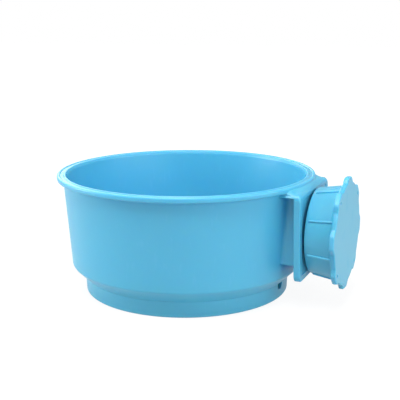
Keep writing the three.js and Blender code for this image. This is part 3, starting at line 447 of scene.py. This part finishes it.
def apron():
    """A closed sheet below that slope. It draws back from the plate's face at its round corners."""
    columns, rows, half, foot_height = 72, 30, 28.9, 69.0
    start_radius, reach, corner_start, corner_draw = 77.4, 82.4, 23, 2.2
    body = bmesh.new()
    sheets = {True: [], False: []}
    for i in range(columns + 1):
        y = half * math.sin(math.pi / 2 * (2 * i / columns - 1))
        start = math.sqrt(start_radius**2 - y * y)
        edge = reach - corner_draw * (max(abs(y) - corner_start, 0) / (half - corner_start)) ** 2
        span = [start + (edge - start) * math.sin(math.pi / 2 * j / rows) for j in range(rows + 1)]
        sheets[True].append([body.verts.new((x, y, apron_top(x, y))) for x in span])
        sheets[False].append([body.verts.new((x, y, foot_height)) for x in span])
    for sheet in sheets.values():
        for near, far in zip(sheet, sheet[1:]):
            for j in range(rows):
                body.faces.new([near[j], near[j + 1], far[j + 1], far[j]])
    for i in range(columns):
        for j in (0, rows):
            top, foot = sheets[True], sheets[False]
            body.faces.new([top[i][j], top[i + 1][j], foot[i + 1][j], foot[i][j]])
    for i in (0, columns):
        for j in range(rows):
            top, foot = sheets[True][i], sheets[False][i]
            body.faces.new([top[j], top[j + 1], foot[j + 1], foot[j]])
    return as_object("apron", body)


def neck_fillet(side):
    """The hollow round that leads the block's side into the wall."""
    radius, inside = 3.6, 2
    body = bmesh.new()
    rings = []
    for z in (NECK_FOOT + NECK_CORNER, 69.2):
        share = (z - WALL_FOOT) / (LIP_FOOT - WALL_FOOT)
        wall = WALL_FOOT_RADIUS + (WALL_TOP_RADIUS - WALL_FOOT_RADIUS) * share
        y = NECK_HALF + radius
        x = math.sqrt((wall + radius) ** 2 - y * y)
        hollow = arc((x, y), radius, -90, -90 - math.degrees(math.atan2(x, y)), 10)
        back = [(x - 2 * radius, NECK_HALF), (x - 2 * radius, NECK_HALF - inside), (x, NECK_HALF - inside)]
        rings.append([body.verts.new((a, side * b, z)) for a, b in hollow + back])
    body.faces.new(rings[0])
    body.faces.new(rings[1])
    for i in range(len(rings[0])):
        j = (i + 1) % len(rings[0])
        body.faces.new([rings[0][i], rings[0][j], rings[1][j], rings[1][i]])
    return as_object("fillet", body)


deck_round = arc((PLATE_TOP_HALF - PLATE_CORNER, PLATE_TOP - PLATE_CORNER), 4.18, 27, 90, 8)
deck_outline = deck_round + [(-y, z) for y, z in reversed(deck_round)]
neck_foot = [(-NECK_HALF, NECK_FOOT, NECK_CORNER), (NECK_HALF, NECK_FOOT, NECK_CORNER)]
neck_outline = rounded([*neck_foot, (NECK_HALF, 69), (-NECK_HALF, 69)])
bracket = combine(
    clamp_plate(),
    [
        slab("deck", deck_outline, 60, 79.9, "X"),
        slab("neck", neck_outline, 60, 79.9, "X"),
        neck_fillet(-1),
        neck_fillet(1),
        apron(),
    ],
    "UNION",
)
core_profile = [(0, 8), (62, 8), (71, 17.5), (75.1, 69.4), (77.6, 69.6), (77.6, 72), (0, 72)]
combine(bracket, [turned("core", core_profile, BOWL_SEGMENTS)], "DIFFERENCE")
combine(bowl, [bracket], "UNION")


def bored(name, radius, low, high, places, segments=32):
    return [lay(disc(name, radius, low, high, segments), place) for place in places]


def across_x(radius, x0, x1, y, z, segments=48):
    """A rod along +X, as a tool for a round hole."""
    place = Matrix.Translation((0, y, z)) @ Matrix.Rotation(math.pi / 2, 4, "Y")
    return lay(disc("rod", radius, x0, x1, segments), place)


cover_places = on_circle(4, COVER_POST_CIRCLE, 45)
retainer_places = on_circle(3, RETAINER_POST_CIRCLE, 60)
combine(
    bowl,
    bored("post", POST_RADIUS, 4.5, FLOOR_FOOT + 0.1, cover_places)
    + bored("post", POST_RADIUS, 10.9, FLOOR_FOOT + 0.1, retainer_places),
    "UNION",
)
combine(
    bowl,
    bored("hole", POST_HOLE_RADIUS, 3, 13, cover_places)
    + bored("hole", POST_HOLE_RADIUS, 9.5, 15.6, retainer_places)
    + [
        across_x(STUD_HEAD_ACROSS / math.sqrt(3) + 0.12, 77.6, 80.4, 0, CLAMP_HEIGHT, 6),
        across_x(STUD_RADIUS + 0.1, 77.7, 84, 0, CLAMP_HEIGHT, 64),
        across_x(INLET_HOLE_RADIUS, 60.2, 80, INLET_Y, INLET_HEIGHT, 40),
        block("notch", (56.9, 61.2), (INLET_Y - 4.5, INLET_Y + 4.5), (4.3, 13.1)),
    ],
    "DIFFERENCE",
)


def worn_and_highlit_bowl(made):
    """Worn along the foot that slides on shelves and faintly on the rim, with a paler line painted along
    the plate's ridge as its highlight.
    """
    foot = (1 - made.z / 0.0022).clamped()
    rim = ((made.z - 0.0728) / 0.0006).clamped()
    # Painted highlight: a paler line along the plate's ridge, where light would catch its rounded edge.
    half = (PLATE_FOOT_HALF - 3.25) * METRES + (made.z - PLATE_FOOT * METRES) * 0.0535
    line = (1.4 - (made.y.size() - half).size() / 0.00035).clamped()
    line = line * ((made.x - 0.0822) / 0.0002).clamped()
    line = line * ((made.z - 0.0212) / 0.0005).clamped() * ((0.0672 - made.z) / 0.0005).clamped()
    return foot + rim * 0.2 + line


finished(bowl, satin_blue("bowl_polypropylene", worn_and_highlit_bowl), "bowl", ["bowl_body"])

# Clamp stud
# A coarse right-hand thread flattened on two sides, on a hexagonal head moulded into the plate.
# The thread's ridge is swept along a helix by Geometry Nodes.

THREAD_PITCH = 4.0
STUD_CORE_RADIUS = 6.2
THREAD_START = 85.1
# Turns what was built about +Z, with its first angle at +X, to the clamp's axis along +X.
TO_CLAMP = Matrix(((0, 0, 1, 0), (0, -1, 0, 0), (1, 0, 0, CLAMP_HEIGHT), (0, 0, 0, 1)))


def grown(name, sizes, shape, finish):
    """A mesh grown by a Geometry Nodes tree, whose named inputs are its sizes."""
    group = bpy.data.node_groups.new(name, "GeometryNodeTree")
    kinds = {int: "NodeSocketInt", float: "NodeSocketFloat", bpy.types.Object: "NodeSocketObject"}
    entries = {}
    for size, value in sizes.items():
        kind = kinds[type(value)]
        entries[size] = group.interface.new_socket(size, in_out="INPUT", socket_type=kind)
    group.interface.new_socket("Geometry", in_out="OUTPUT", socket_type="NodeSocketGeometry")
    plan = Plan(group)
    start = group.nodes.new("NodeGroupInput")
    given = {size: Field(group, start.outputs[size]) for size in sizes}
    real = plan.node("GeometryNodeRealizeInstances", {}, {"Geometry": shape(plan, given)})
    clad = {"Geometry": real, "Material": finish.material}
    end = group.nodes.new("NodeGroupOutput")
    feed(group, end.inputs[0], plan.node("GeometryNodeSetMaterial", {}, clad))
    made = bpy.data.objects.new(name, bpy.data.meshes.new(name))
    bpy.context.scene.collection.objects.link(made)
    grower = made.modifiers.new(name, "NODES")
    grower.node_group = group
    for size, value in sizes.items():
        grower[entries[size].identifier] = value
    settle(made)
    return made


def thread_shape(plan, given):
    """A trapezium carried along a helix that rises by one pitch in each turn."""
    count = given["Turns"] * given["Steps"] + 1
    line = plan.node("GeometryNodeMeshLine", {}, {"Count": count})
    step = plan.node("GeometryNodeInputIndex") / given["Steps"]
    angle = step * (2 * math.pi)
    across, up = given["Root radius"] * angle.cosine(), given["Root radius"] * angle.sine()
    spot = plan.vector(across, up, given["Start"] + given["Pitch"] * step)
    helix = plan.node("GeometryNodeSetPosition", {}, {"Geometry": line, "Position": spot})
    path = plan.node("GeometryNodeMeshToCurve", {}, {"Mesh": helix})
    level = plan.node("GeometryNodeSetCurveNormal", {"mode": "Z_UP"}, {"Curve": path})
    root, crest = given["Root width"] / 2, given["Crest width"] / 2
    corners = {
        "Point 1": plan.vector(0.0, root, 0.0),
        "Point 2": plan.vector(given["Depth"], crest, 0.0),
        "Point 3": plan.vector(given["Depth"], crest * -1, 0.0),
        "Point 4": plan.vector(0.0, root * -1, 0.0),
    }
    section = plan.node("GeometryNodeCurvePrimitiveQuadrilateral", {"mode": "POINTS"}, corners)
    sweep = {"Curve": level, "Profile Curve": section, "Fill Caps": True}
    return plan.node("GeometryNodeCurveToMesh", {}, sweep)


def thread(root_radius, crest_radius, root_width, crest_width, start, turns, finish):
    sizes = {
        "Pitch": THREAD_PITCH,
        "Start": start,
        "Turns": turns,
        "Steps": 48,
        "Root radius": root_radius,
        "Depth": crest_radius - root_radius,
        "Root width": root_width,
        "Crest width": crest_width,
    }
    made = grown("thread", sizes, thread_shape, finish)
    body = bmesh.new()
    body.from_mesh(made.data)
    bpy.data.objects.remove(made)
    return as_object("thread", body)


stud_finish = satin_blue("stud_polypropylene")
stud = turned(
    "stud",
    rounded([(0, 77.8), (STUD_CORE_RADIUS, 77.8), (STUD_CORE_RADIUS, 98.5, 0.8), (0, 98.5)]),
    64,
)
ridge = thread(STUD_CORE_RADIUS - 0.35, 8.0, 2.55, 1.0, THREAD_START, 2.8, stud_finish)
combine(stud, [ridge], "UNION")
combine(stud, [block("flats", (-12, 12), (-6.9, 6.9), (70, 100))], "INTERSECT")
shank = turned("shank", rounded([(0, 77.8), (8, 77.8), (8, 82.4, 0.4), (0, 82.4)]), 64)
head_ring = [(STUD_HEAD_ACROSS / math.sqrt(3), 60 * i) for i in range(6)]
hexagon = [(r * math.cos(math.radians(a)), r * math.sin(math.radians(a))) for r, a in head_ring]
combine(stud, [shank, slab("head", hexagon, 77.7, 80.3, "Z", 0.3)], "UNION")
finished(lay(stud, TO_CLAMP), stud_finish, "bowl", ["clamp_stud"])

# Clamp washer
# Keyed on the stud's flats and snapped over the knob's hub, so that it presses on the cage wires
# without turning on them. Moulded in the same plastic.

WASHER_FACE = 83.9
HUB_RADIUS = 12
washer = turned(
    "washer",
    rounded(
        [
            (5, WASHER_FACE),
            (20, WASHER_FACE, 0.5),
            (20, 85.9, 0.4),
            (13.8, 85.9, 0.3),
            (13.8, 90.1, 0.4),
            (11.4, 90.1, 0.4),
            (11.4, 89.0, 0.3),
            (12.3, 89.0),
            (12.3, 85.9),
            (5, 85.9),
        ]
    ),
    120,
)
keyed = disc("keyed", 8.35, 80, 92, 64)
combine(keyed, [block("key", (-12, 12), (-7.2, 7.2), (79, 93))], "INTERSECT")
combine(washer, [keyed], "DIFFERENCE")
washer_finish = satin_blue("washer_polypropylene")
finished(lay(washer, TO_CLAMP), washer_finish, "washer", ["clamp_washer"])

# Knob
# One moulding: an eight-lobed flange with a closed face, a hollow drum with eight grip ribs, and
# inside it the threaded hub on four webs. The lobes and the ribs are set out by Geometry Nodes.

LOBES = 8
REST_TURN_DEG = -3.1
DRUM_END = 84.1
FLANGE_BACK = 100.3
KNOB_FACE = 103.3


def worn_and_highlit_knob(made):
    """Polished paler on the tips of the lobes where fingers turn it, and paler on the crests of the ribs,
    partly from wear and partly as a painted highlight.
    """
    out = (made.y * made.y + (made.z - CLAMP_HEIGHT * METRES) ** 2.0) ** 0.5
    drum = 0.0255 + (made.x - DRUM_END * METRES) * 0.1543
    # Rib crests: partly wear, partly a painted highlight along them.
    crest = ((out - drum) / 0.0004 - 0.8).clamped() * ((0.1000 - made.x) / 0.0003).clamped()
    return ((out - 0.0316) / 0.0016).clamped() * 0.8 + crest


knob_finish = satin_blue("knob_polypropylene", worn_and_highlit_knob)


def flange_shape(plan, given):
    """A disc whose radius falls from each lobe's flat tip to the notch in a half wave."""
    sides = {"Vertices": given["Points"], "Radius": 1.0}
    disc_ = plan.node("GeometryNodeMeshCircle", {"fill_type": "NGON"}, sides)
    x, y, _ = plan.parts(plan.node("GeometryNodeInputPosition"))
    share = x.maths("ARCTAN2", y, x) * given["Lobes"] / (2 * math.pi)
    off_deg = (share - share.maths("ROUND", share)).size() * 360 / given["Lobes"]
    fall = ((off_deg - given["Tip half angle"]) / given["Flank angle"]).clamped()
    wave = ((fall * math.pi).cosine() + 1) / 2
    radius = given["Notch radius"] + (given["Lobe radius"] - given["Notch radius"]) * wave
    spot = plan.vector(x * radius, y * radius, given["Back"])
    outline = plan.node("GeometryNodeSetPosition", {}, {"Geometry": disc_, "Position": spot})
    rise = {"Mesh": outline, "Offset Scale": given["Thickness"], "Individual": False}
    solid = plan.node("GeometryNodeExtrudeMesh", {"mode": "FACES"}, rise)
    back = plan.node("GeometryNodeFlipFaces", {}, {"Mesh": outline})
    joined = plan.node("GeometryNodeJoinGeometry", {}, {"Geometry": solid})
    plan.tree.links.new(back.socket, joined.socket.node.inputs[0])
    return plan.node("GeometryNodeMergeByDistance", {}, {"Geometry": joined, "Distance": 0.0001})


def ring_shape(plan, given):
    """The pattern, repeated round a circle and turned with it, or with a loose turn of its own."""
    turn = plan.node("GeometryNodeInputIndex") / given["Count"] * (2 * math.pi)
    angle = turn + given["First angle"]
    spot = plan.vector(given["Circle"] * angle.cosine(), given["Circle"] * angle.sine(), 0.0)
    points = plan.node("GeometryNodePoints", {}, {"Count": given["Count"], "Position": spot})
    pattern = plan.node("GeometryNodeObjectInfo", {}, {"Object": given["Pattern"]}, "Geometry")
    loose = plan.node("FunctionNodeRandomValue", {"data_type": "FLOAT"}, {"Seed": 3}, 1)
    spin = plan.vector(0.0, 0.0, angle + loose * given["Loose turn"])
    sockets = {"Points": points, "Instance": pattern, "Rotation": spin}
    return plan.node("GeometryNodeInstanceOnPoints", {}, sockets)


def ring_of(name, pattern, count, circle, first_deg, loose_deg, finish):
    sizes = {
        "Count": count,
        "Circle": float(circle),
        "First angle": math.radians(first_deg),
        "Loose turn": math.radians(loose_deg),
        "Pattern": pattern,
    }
    made = grown(name, sizes, ring_shape, finish)
    bpy.data.objects.remove(pattern)
    return made


flange_sizes = {
    "Points": 320,
    "Lobes": LOBES,
    "Lobe radius": 33.27,
    "Notch radius": 30.6,
    "Tip half angle": 5.5,
    "Flank angle": 9.0,
    "Back": FLANGE_BACK,
    "Thickness": KNOB_FACE - FLANGE_BACK,
}
flange = grown("flange", flange_sizes, flange_shape, knob_finish)
softened = flange.modifiers.new("edge", "BEVEL")
softened.width = 0.75
softened.segments = 4
softened.angle_limit = math.radians(60)
settle(flange)

drum = turned(
    "knob",
    rounded(
        [
            (21, DRUM_END, 0.3),
            (25.5, DRUM_END, 0.7),
            (28.0, FLANGE_BACK + 0.06, 1.7),
            (30.2, FLANGE_BACK + 0.06),
            (30.2, FLANGE_BACK + 0.8),
            (25.8, FLANGE_BACK + 0.8),
            (23.64, DRUM_END + 2.2, 0.4),
            (21, DRUM_END + 2.2),
        ]
    ),
    160,
)
hub = turned("hub", [(0, 86.1), (HUB_RADIUS, 86.1), (HUB_RADIUS, 100.8), (0, 100.8)], 64)
rib_section = [(24.2, 85.5), (27.0, 100.8), (28.8, 100.8), (28.75, 100.2), (26.6, 86.3), (26.2, 85.7)]
rib = slab("rib", rib_section, -0.6, 0.6, "Y", 0.35)
ribs = ring_of("grip_ribs", rib, LOBES, 0, 180 / LOBES, 0, knob_finish)
webs = [block("web", (-24.5, 24.5), (-0.8, 0.8), (90.7, 100.8))]
webs.append(block("web", (-0.8, 0.8), (-24.5, 24.5), (90.7, 100.8)))
combine(drum, [hub, *webs, ribs, flange], "UNION")

snap_groove = turned("groove", [(11.1, 88.7), (13, 88.7), (13, 90.4), (11.1, 90.4)], 64)
screw_space = thread(STUD_CORE_RADIUS, 8.35, 2.9, 1.7, THREAD_START - 3 * THREAD_PITCH, 8.0, knob_finish)
combine(screw_space, [disc("reach", 10, 85, 100.2, 48)], "INTERSECT")
combine(screw_space, [disc("bore", STUD_CORE_RADIUS + 0.35, 85, 100.2, 64)], "UNION")
lay(screw_space, Matrix.Rotation(math.radians(-REST_TURN_DEG), 4, "Z"))
dimple_profile = [(0, 102.0), (0.7, 102.1), (0.95, 102.5), (1.0, 103.2), (1.15, 103.4), (0, 103.4)]
dimple = turned("dimple", dimple_profile, 20)
dimples = ring_of("dimples", dimple, 4, 29.5, 45, 0, knob_finish)
combine(drum, [snap_groove, screw_space, dimples], "DIFFERENCE")
turn_at_rest = Matrix.Rotation(math.radians(REST_TURN_DEG), 4, "Z")
finished(lay(drum, TO_CLAMP @ turn_at_rest), knob_finish, "knob", ["clamp_knob"])

# Base cover
# Closes the skirt from below. Four bosses take the screws, and the cradle on its inner side holds
# the inlet socket against its seal. Moulded in the same plastic, and worn where it slides.


def rubbed_cover(made):
    return (1 - made.z / 0.0003).clamped() * 0.6


cover_finish = satin_blue("cover_polypropylene", rubbed_cover)
cover = turned("cover", rounded([(0, 0), (61.4, 0, 0.5), (61.4, 2, 0.2), (0, 2)]), 160)
boss = turned("boss", rounded([(0, 1), (4.2, 1), (4.2, 4.4, 0.4), (0, 4.4)]), 40)
bosses = ring_of("bosses", boss, 4, COVER_POST_CIRCLE, 45, 0, cover_finish)
cradle = [
    block("side", (47.2, 57.7), (INLET_Y - 5.7, INLET_Y - 4.3), (1, 8.6), 0.2),
    block("side", (47.2, 57.7), (INLET_Y + 4.3, INLET_Y + 5.7), (1, 8.6), 0.2),
    block("stop", (44.7, 46.1), (INLET_Y - 4.2, INLET_Y - 2.8), (1, 8.6), 0.2),
    block("stop", (44.7, 46.1), (INLET_Y + 2.8, INLET_Y + 4.2), (1, 8.6), 0.2),
    block("shelf", (47.25, 57.65), (INLET_Y - 5, INLET_Y + 5), (1, 4.3)),
]
combine(cover, [bosses, *cradle], "UNION")
recess = turned("recess", [(0, -1), (3.6, -1), (3.1, 0.35), (3.1, 2.3), (0, 2.3)], 40)
recesses = ring_of("recesses", recess, 4, COVER_POST_CIRCLE, 45, 0, cover_finish)
holes = ring_of("holes", disc("hole", 1.65, -0.5, 6), 4, COVER_POST_CIRCLE, 45, 0, cover_finish)
combine(cover, [recesses, holes], "DIFFERENCE")
finished(cover, cover_finish, "bowl", ["base_cover"])

# Screws
# Plated steel, cross-head. Four hold the cover from below, and three hold the retainer plate.
# Geometry Nodes set each kind out on its circle, each turned by its own amount.


def metal(name, tint, dark, roughness, grain=(1, 1, 0.08)):
    """Bare or plated metal with fine drawn lines and faint stains."""
    made = Finish(name, Metallic=1.0)
    lines = made.noise(1600, 3, grain)
    stains = made.noise(90, 4)
    made.set(
        Base_Color=made.colour((stains * 0.6 + lines * 0.4).clamped(), dark, tint),
        Roughness=roughness + 0.16 * lines - 0.08 * stains,
        Normal=made.relief(lines, 0.00001),
    )
    return made


plated = metal("plated_steel", (0.60, 0.61, 0.63), (0.40, 0.41, 0.43), 0.24)


def screws(name, bearing, length, count, circle, first_deg, nodes):
    foot, tip = bearing - 1.8, bearing + length
    pan = [(0, foot), (2.1, foot, 0.5), (2.8, foot + 0.9, 0.5), (2.8, bearing, 0.15)]
    shaft = [(1.35, bearing, 0.1), (1.35, tip - 1.35), (0.3, tip), (0, tip)]
    one = turned("screw", rounded(pan + shaft, 3), 32)
    slots = [
        block("slot", (-1.5, 1.5), (-0.35, 0.35), (foot - 1, foot + 0.9)),
        block("slot", (-0.35, 0.35), (-1.5, 1.5), (foot - 1, foot + 0.9)),
    ]
    combine(one, slots, "DIFFERENCE")
    finished(ring_of(name, one, count, circle, first_deg, 90, plated), plated, "bowl", nodes)


cover_nodes = [f"cover_screw_{i}" for i in range(1, 5)]
retainer_nodes = [f"retainer_screw_{i}" for i in range(1, 4)]
screws("cover_screws", 2.2, 10.4, 4, COVER_POST_CIRCLE, 45, cover_nodes)
screws("retainer_screws", 9.9, 5.2, 3, RETAINER_POST_CIRCLE, 60, retainer_nodes)

# Gasket and inlet seal
# Moulded silicone rubber with a matt bloom. The gasket lies between the cover and the ledge, the
# seal behind the inlet's hole.


def dress(finish, *nodes):
    """Gives CAD nodes whose shape is right a finish of their own."""
    for name in nodes:
        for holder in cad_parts[name].material_slots:
            holder.material = finish.material


silicone = Finish("seal_rubber", IOR=1.43)
bloom = silicone.noise(160, 4)
pores = silicone.noise(2600, 2)
silicone.set(
    Base_Color=silicone.colour(bloom, (0.016, 0.017, 0.020), (0.034, 0.035, 0.039)),
    Roughness=0.72 + 0.18 * bloom,
    Normal=silicone.relief(pores, 0.00002),
)
dress(silicone, "cover_gasket", "inlet_seal")

# Heater
# An etched foil track between two mica sheets, under an aluminium spreader plate. Glass felt below
# it sends the heat up, and a steel retainer presses the stack to the floor.

aluminium = metal("mill_aluminium", (0.70, 0.71, 0.73), (0.48, 0.49, 0.51), 0.30, (0.05, 1, 1))
dress(aluminium, "spreader_plate", "thermostat_cap")

mica = Finish("mica_paper", IOR=1.56)
flakes = mica.node("ShaderNodeTexVoronoi", {}, {"Vector": mica.place, "Scale": 900}, "Distance")
layers = mica.noise(70, 4)
mica.set(
    Base_Color=mica.colour((layers * 0.7 + flakes * 0.5).clamped(), (0.36, 0.29, 0.17), (0.58, 0.51, 0.36)),
    Roughness=0.45 + 0.35 * flakes.clamped(),
    Normal=mica.relief(flakes, 0.00002),
)
dress(mica, "heater_sheet_upper", "heater_sheet_lower")

foil = metal("resistance_foil", (0.40, 0.35, 0.30), (0.22, 0.19, 0.16), 0.34, (1, 0.08, 1))
dress(foil, "heater_track")

felt = Finish("glass_felt", IOR=1.45)
fibres = felt.noise(1500, 4, (1, 0.12, 1)) + felt.noise(1500, 4, (0.12, 1, 1))
felt.set(
    Base_Color=felt.colour((fibres - 0.5).clamped(), (0.62, 0.58, 0.50), (0.86, 0.83, 0.76)),
    Roughness=0.9 + 0.08 * felt.noise(300, 2),
    Normal=felt.relief(fibres, 0.00015),
)
dress(felt, "insulation_pad")

dress(plated, "retainer_plate")
brass = metal("bright_brass", (0.72, 0.50, 0.19), (0.50, 0.32, 0.10), 0.22)
dress(brass, "heater_pin_1", "heater_pin_2")

# Thermostat and thermal fuse
# A disc switch in a phenolic body under its aluminium cap, with two brass tabs, and a one-shot
# fuse in a plated case that a spring-steel clip holds to the retainer plate.

phenolic = Finish("black_phenolic", IOR=1.55)
filler = phenolic.noise(1300, 4)
phenolic.set(
    Base_Color=phenolic.colour(filler, (0.008, 0.008, 0.009), (0.026, 0.025, 0.026)),
    Roughness=0.42 + 0.25 * filler,
    Normal=phenolic.relief(filler, 0.000025),
)
dress(phenolic, "thermostat_body")
dress(brass, "thermostat_tab_1", "thermostat_tab_2")
dress(plated, "thermal_fuse", "fuse_clip")

# Inlet
# A moulded socket for a round low-voltage plug behind the hole in the skirt, with its centre pin
# and side contact in brass.

dress(phenolic, "inlet_socket")
dress(brass, "inlet_pin", "inlet_spring")

# Leads
# Stranded copper in silicone sleeve, red on the switched side and black on the return.


def sleeve(name, tone, deep):
    made = Finish(name, IOR=1.43)
    skin = made.noise(500, 3)
    made.set(
        Base_Color=made.colour(skin, deep, tone),
        Roughness=0.40 + 0.22 * skin,
        Normal=made.relief(skin, 0.00003),
    )
    return made


red_leads = ["lead_inlet_to_fuse", "lead_fuse_to_thermostat", "lead_thermostat_to_heater"]
dress(sleeve("red_sleeve", (0.46, 0.040, 0.028), (0.30, 0.020, 0.016)), *red_leads)
dress(sleeve("black_sleeve", (0.034, 0.034, 0.037), (0.014, 0.014, 0.016)), "lead_heater_to_inlet")

# Studio
# A white sweep just under the foot, soft lights above, at the sides and behind, and the
# photograph's camera. The sweep shows as pure white further off, and near by it keeps the shadow.

AIM = (0, 0, 0.035)


def white_sweep():
    size, drop = 4.0, 0.0002
    body = bmesh.new()
    corners = [(-size, -size), (size, -size), (size, size), (-size, size)]
    body.faces.new([body.verts.new((x, y, -drop)) for x, y in corners])
    return as_object("sweep", body)


def rays(plan):
    """Whether a ray comes straight from the camera, and whether a surface mirrored it."""
    seen = plan.node("ShaderNodeLightPath", output="Is Camera Ray")
    return seen, Field(plan.tree, seen.socket.node.outputs["Is Glossy Ray"])


sweep = white_sweep()
paper = Finish("white_paper")
paper.set(Base_Color=(0.55, 0.55, 0.55, 1), Roughness=0.9 + 0.05 * paper.noise(40, 2))
seen, mirrored = rays(paper)
glow = paper.node("ShaderNodeEmission", {}, {"Color": (1, 1, 1, 1), "Strength": 1.12})
body_shade = Field(paper.tree, paper.shader.outputs[0])
away = ((paper.x * paper.x + paper.y * paper.y) ** 0.5 * 4 - 0.8).clamped()
share = seen * (0.82 + away * 0.18) + mirrored * 0.55
mixed = paper.node("ShaderNodeMixShader", {}, {0: share, 1: body_shade, 2: glow})
sheet_end = next(n for n in paper.tree.nodes if n.type == "OUTPUT_MATERIAL")
paper.tree.links.new(mixed.socket, sheet_end.inputs["Surface"])
sweep.data.materials.append(paper.material)

world = bpy.data.worlds.new("studio")
bpy.context.scene.world = world
world.use_nodes = True
sky = Plan(world.node_tree)
seen, mirrored = rays(sky)
background = next(n for n in sky.tree.nodes if n.type == "BACKGROUND")
background.inputs["Color"].default_value = (1, 1, 1, 1)
feed(sky.tree, background.inputs["Strength"], 0.34 + seen * 0.66 + mirrored * 0.20)


def soft_light(name, place, width, height, power):
    lamp = bpy.data.lights.new(name, "AREA")
    lamp.shape = "RECTANGLE"
    lamp.size, lamp.size_y, lamp.energy = width, height, power
    holder = bpy.data.objects.new(name, lamp)
    bpy.context.scene.collection.objects.link(holder)
    holder.location = place
    holder.rotation_euler = (Vector(AIM) - Vector(place)).to_track_quat("-Z", "Y").to_euler()


soft_light("over", (0.05, -0.28, 0.68), 0.35, 0.35, 4.7)
soft_light("left", (-0.80, -0.26, 0.24), 0.40, 0.44, 4.9)
soft_light("right", (0.86, 0.05, 0.24), 0.40, 0.44, 2.0)
soft_light("near_right", (0.78, -0.40, 0.30), 0.40, 0.50, 2.0)
soft_light("behind", (-0.62, 0.60, 0.50), 0.60, 0.60, 3.6)

CAMERA_PLACE = (0.20465, -0.45115, 0.167)
heading, pitch, roll = (math.radians(turn) for turn in (-23.425, 12.819, -0.157))
level = math.cos(pitch)
forward = Vector((math.sin(heading) * level, math.cos(heading) * level, -math.sin(pitch)))
level_right = Vector((math.cos(heading), -math.sin(heading), 0))
level_up = level_right.cross(forward)
right = math.cos(roll) * level_right + math.sin(roll) * level_up
upward = math.cos(roll) * level_up - math.sin(roll) * level_right
lens = bpy.data.cameras.new("camera")
lens.lens = 72.46
lens.sensor_width = 36
lens.clip_start, lens.clip_end = 0.01, 20
camera = bpy.data.objects.new("camera", lens)
bpy.context.scene.collection.objects.link(camera)
facing = Matrix((right, upward, -forward)).transposed().to_4x4()
camera.matrix_world = Matrix.Translation(CAMERA_PLACE) @ facing
bpy.context.scene.camera = camera
bpy.context.scene.view_settings.view_transform = "Standard"
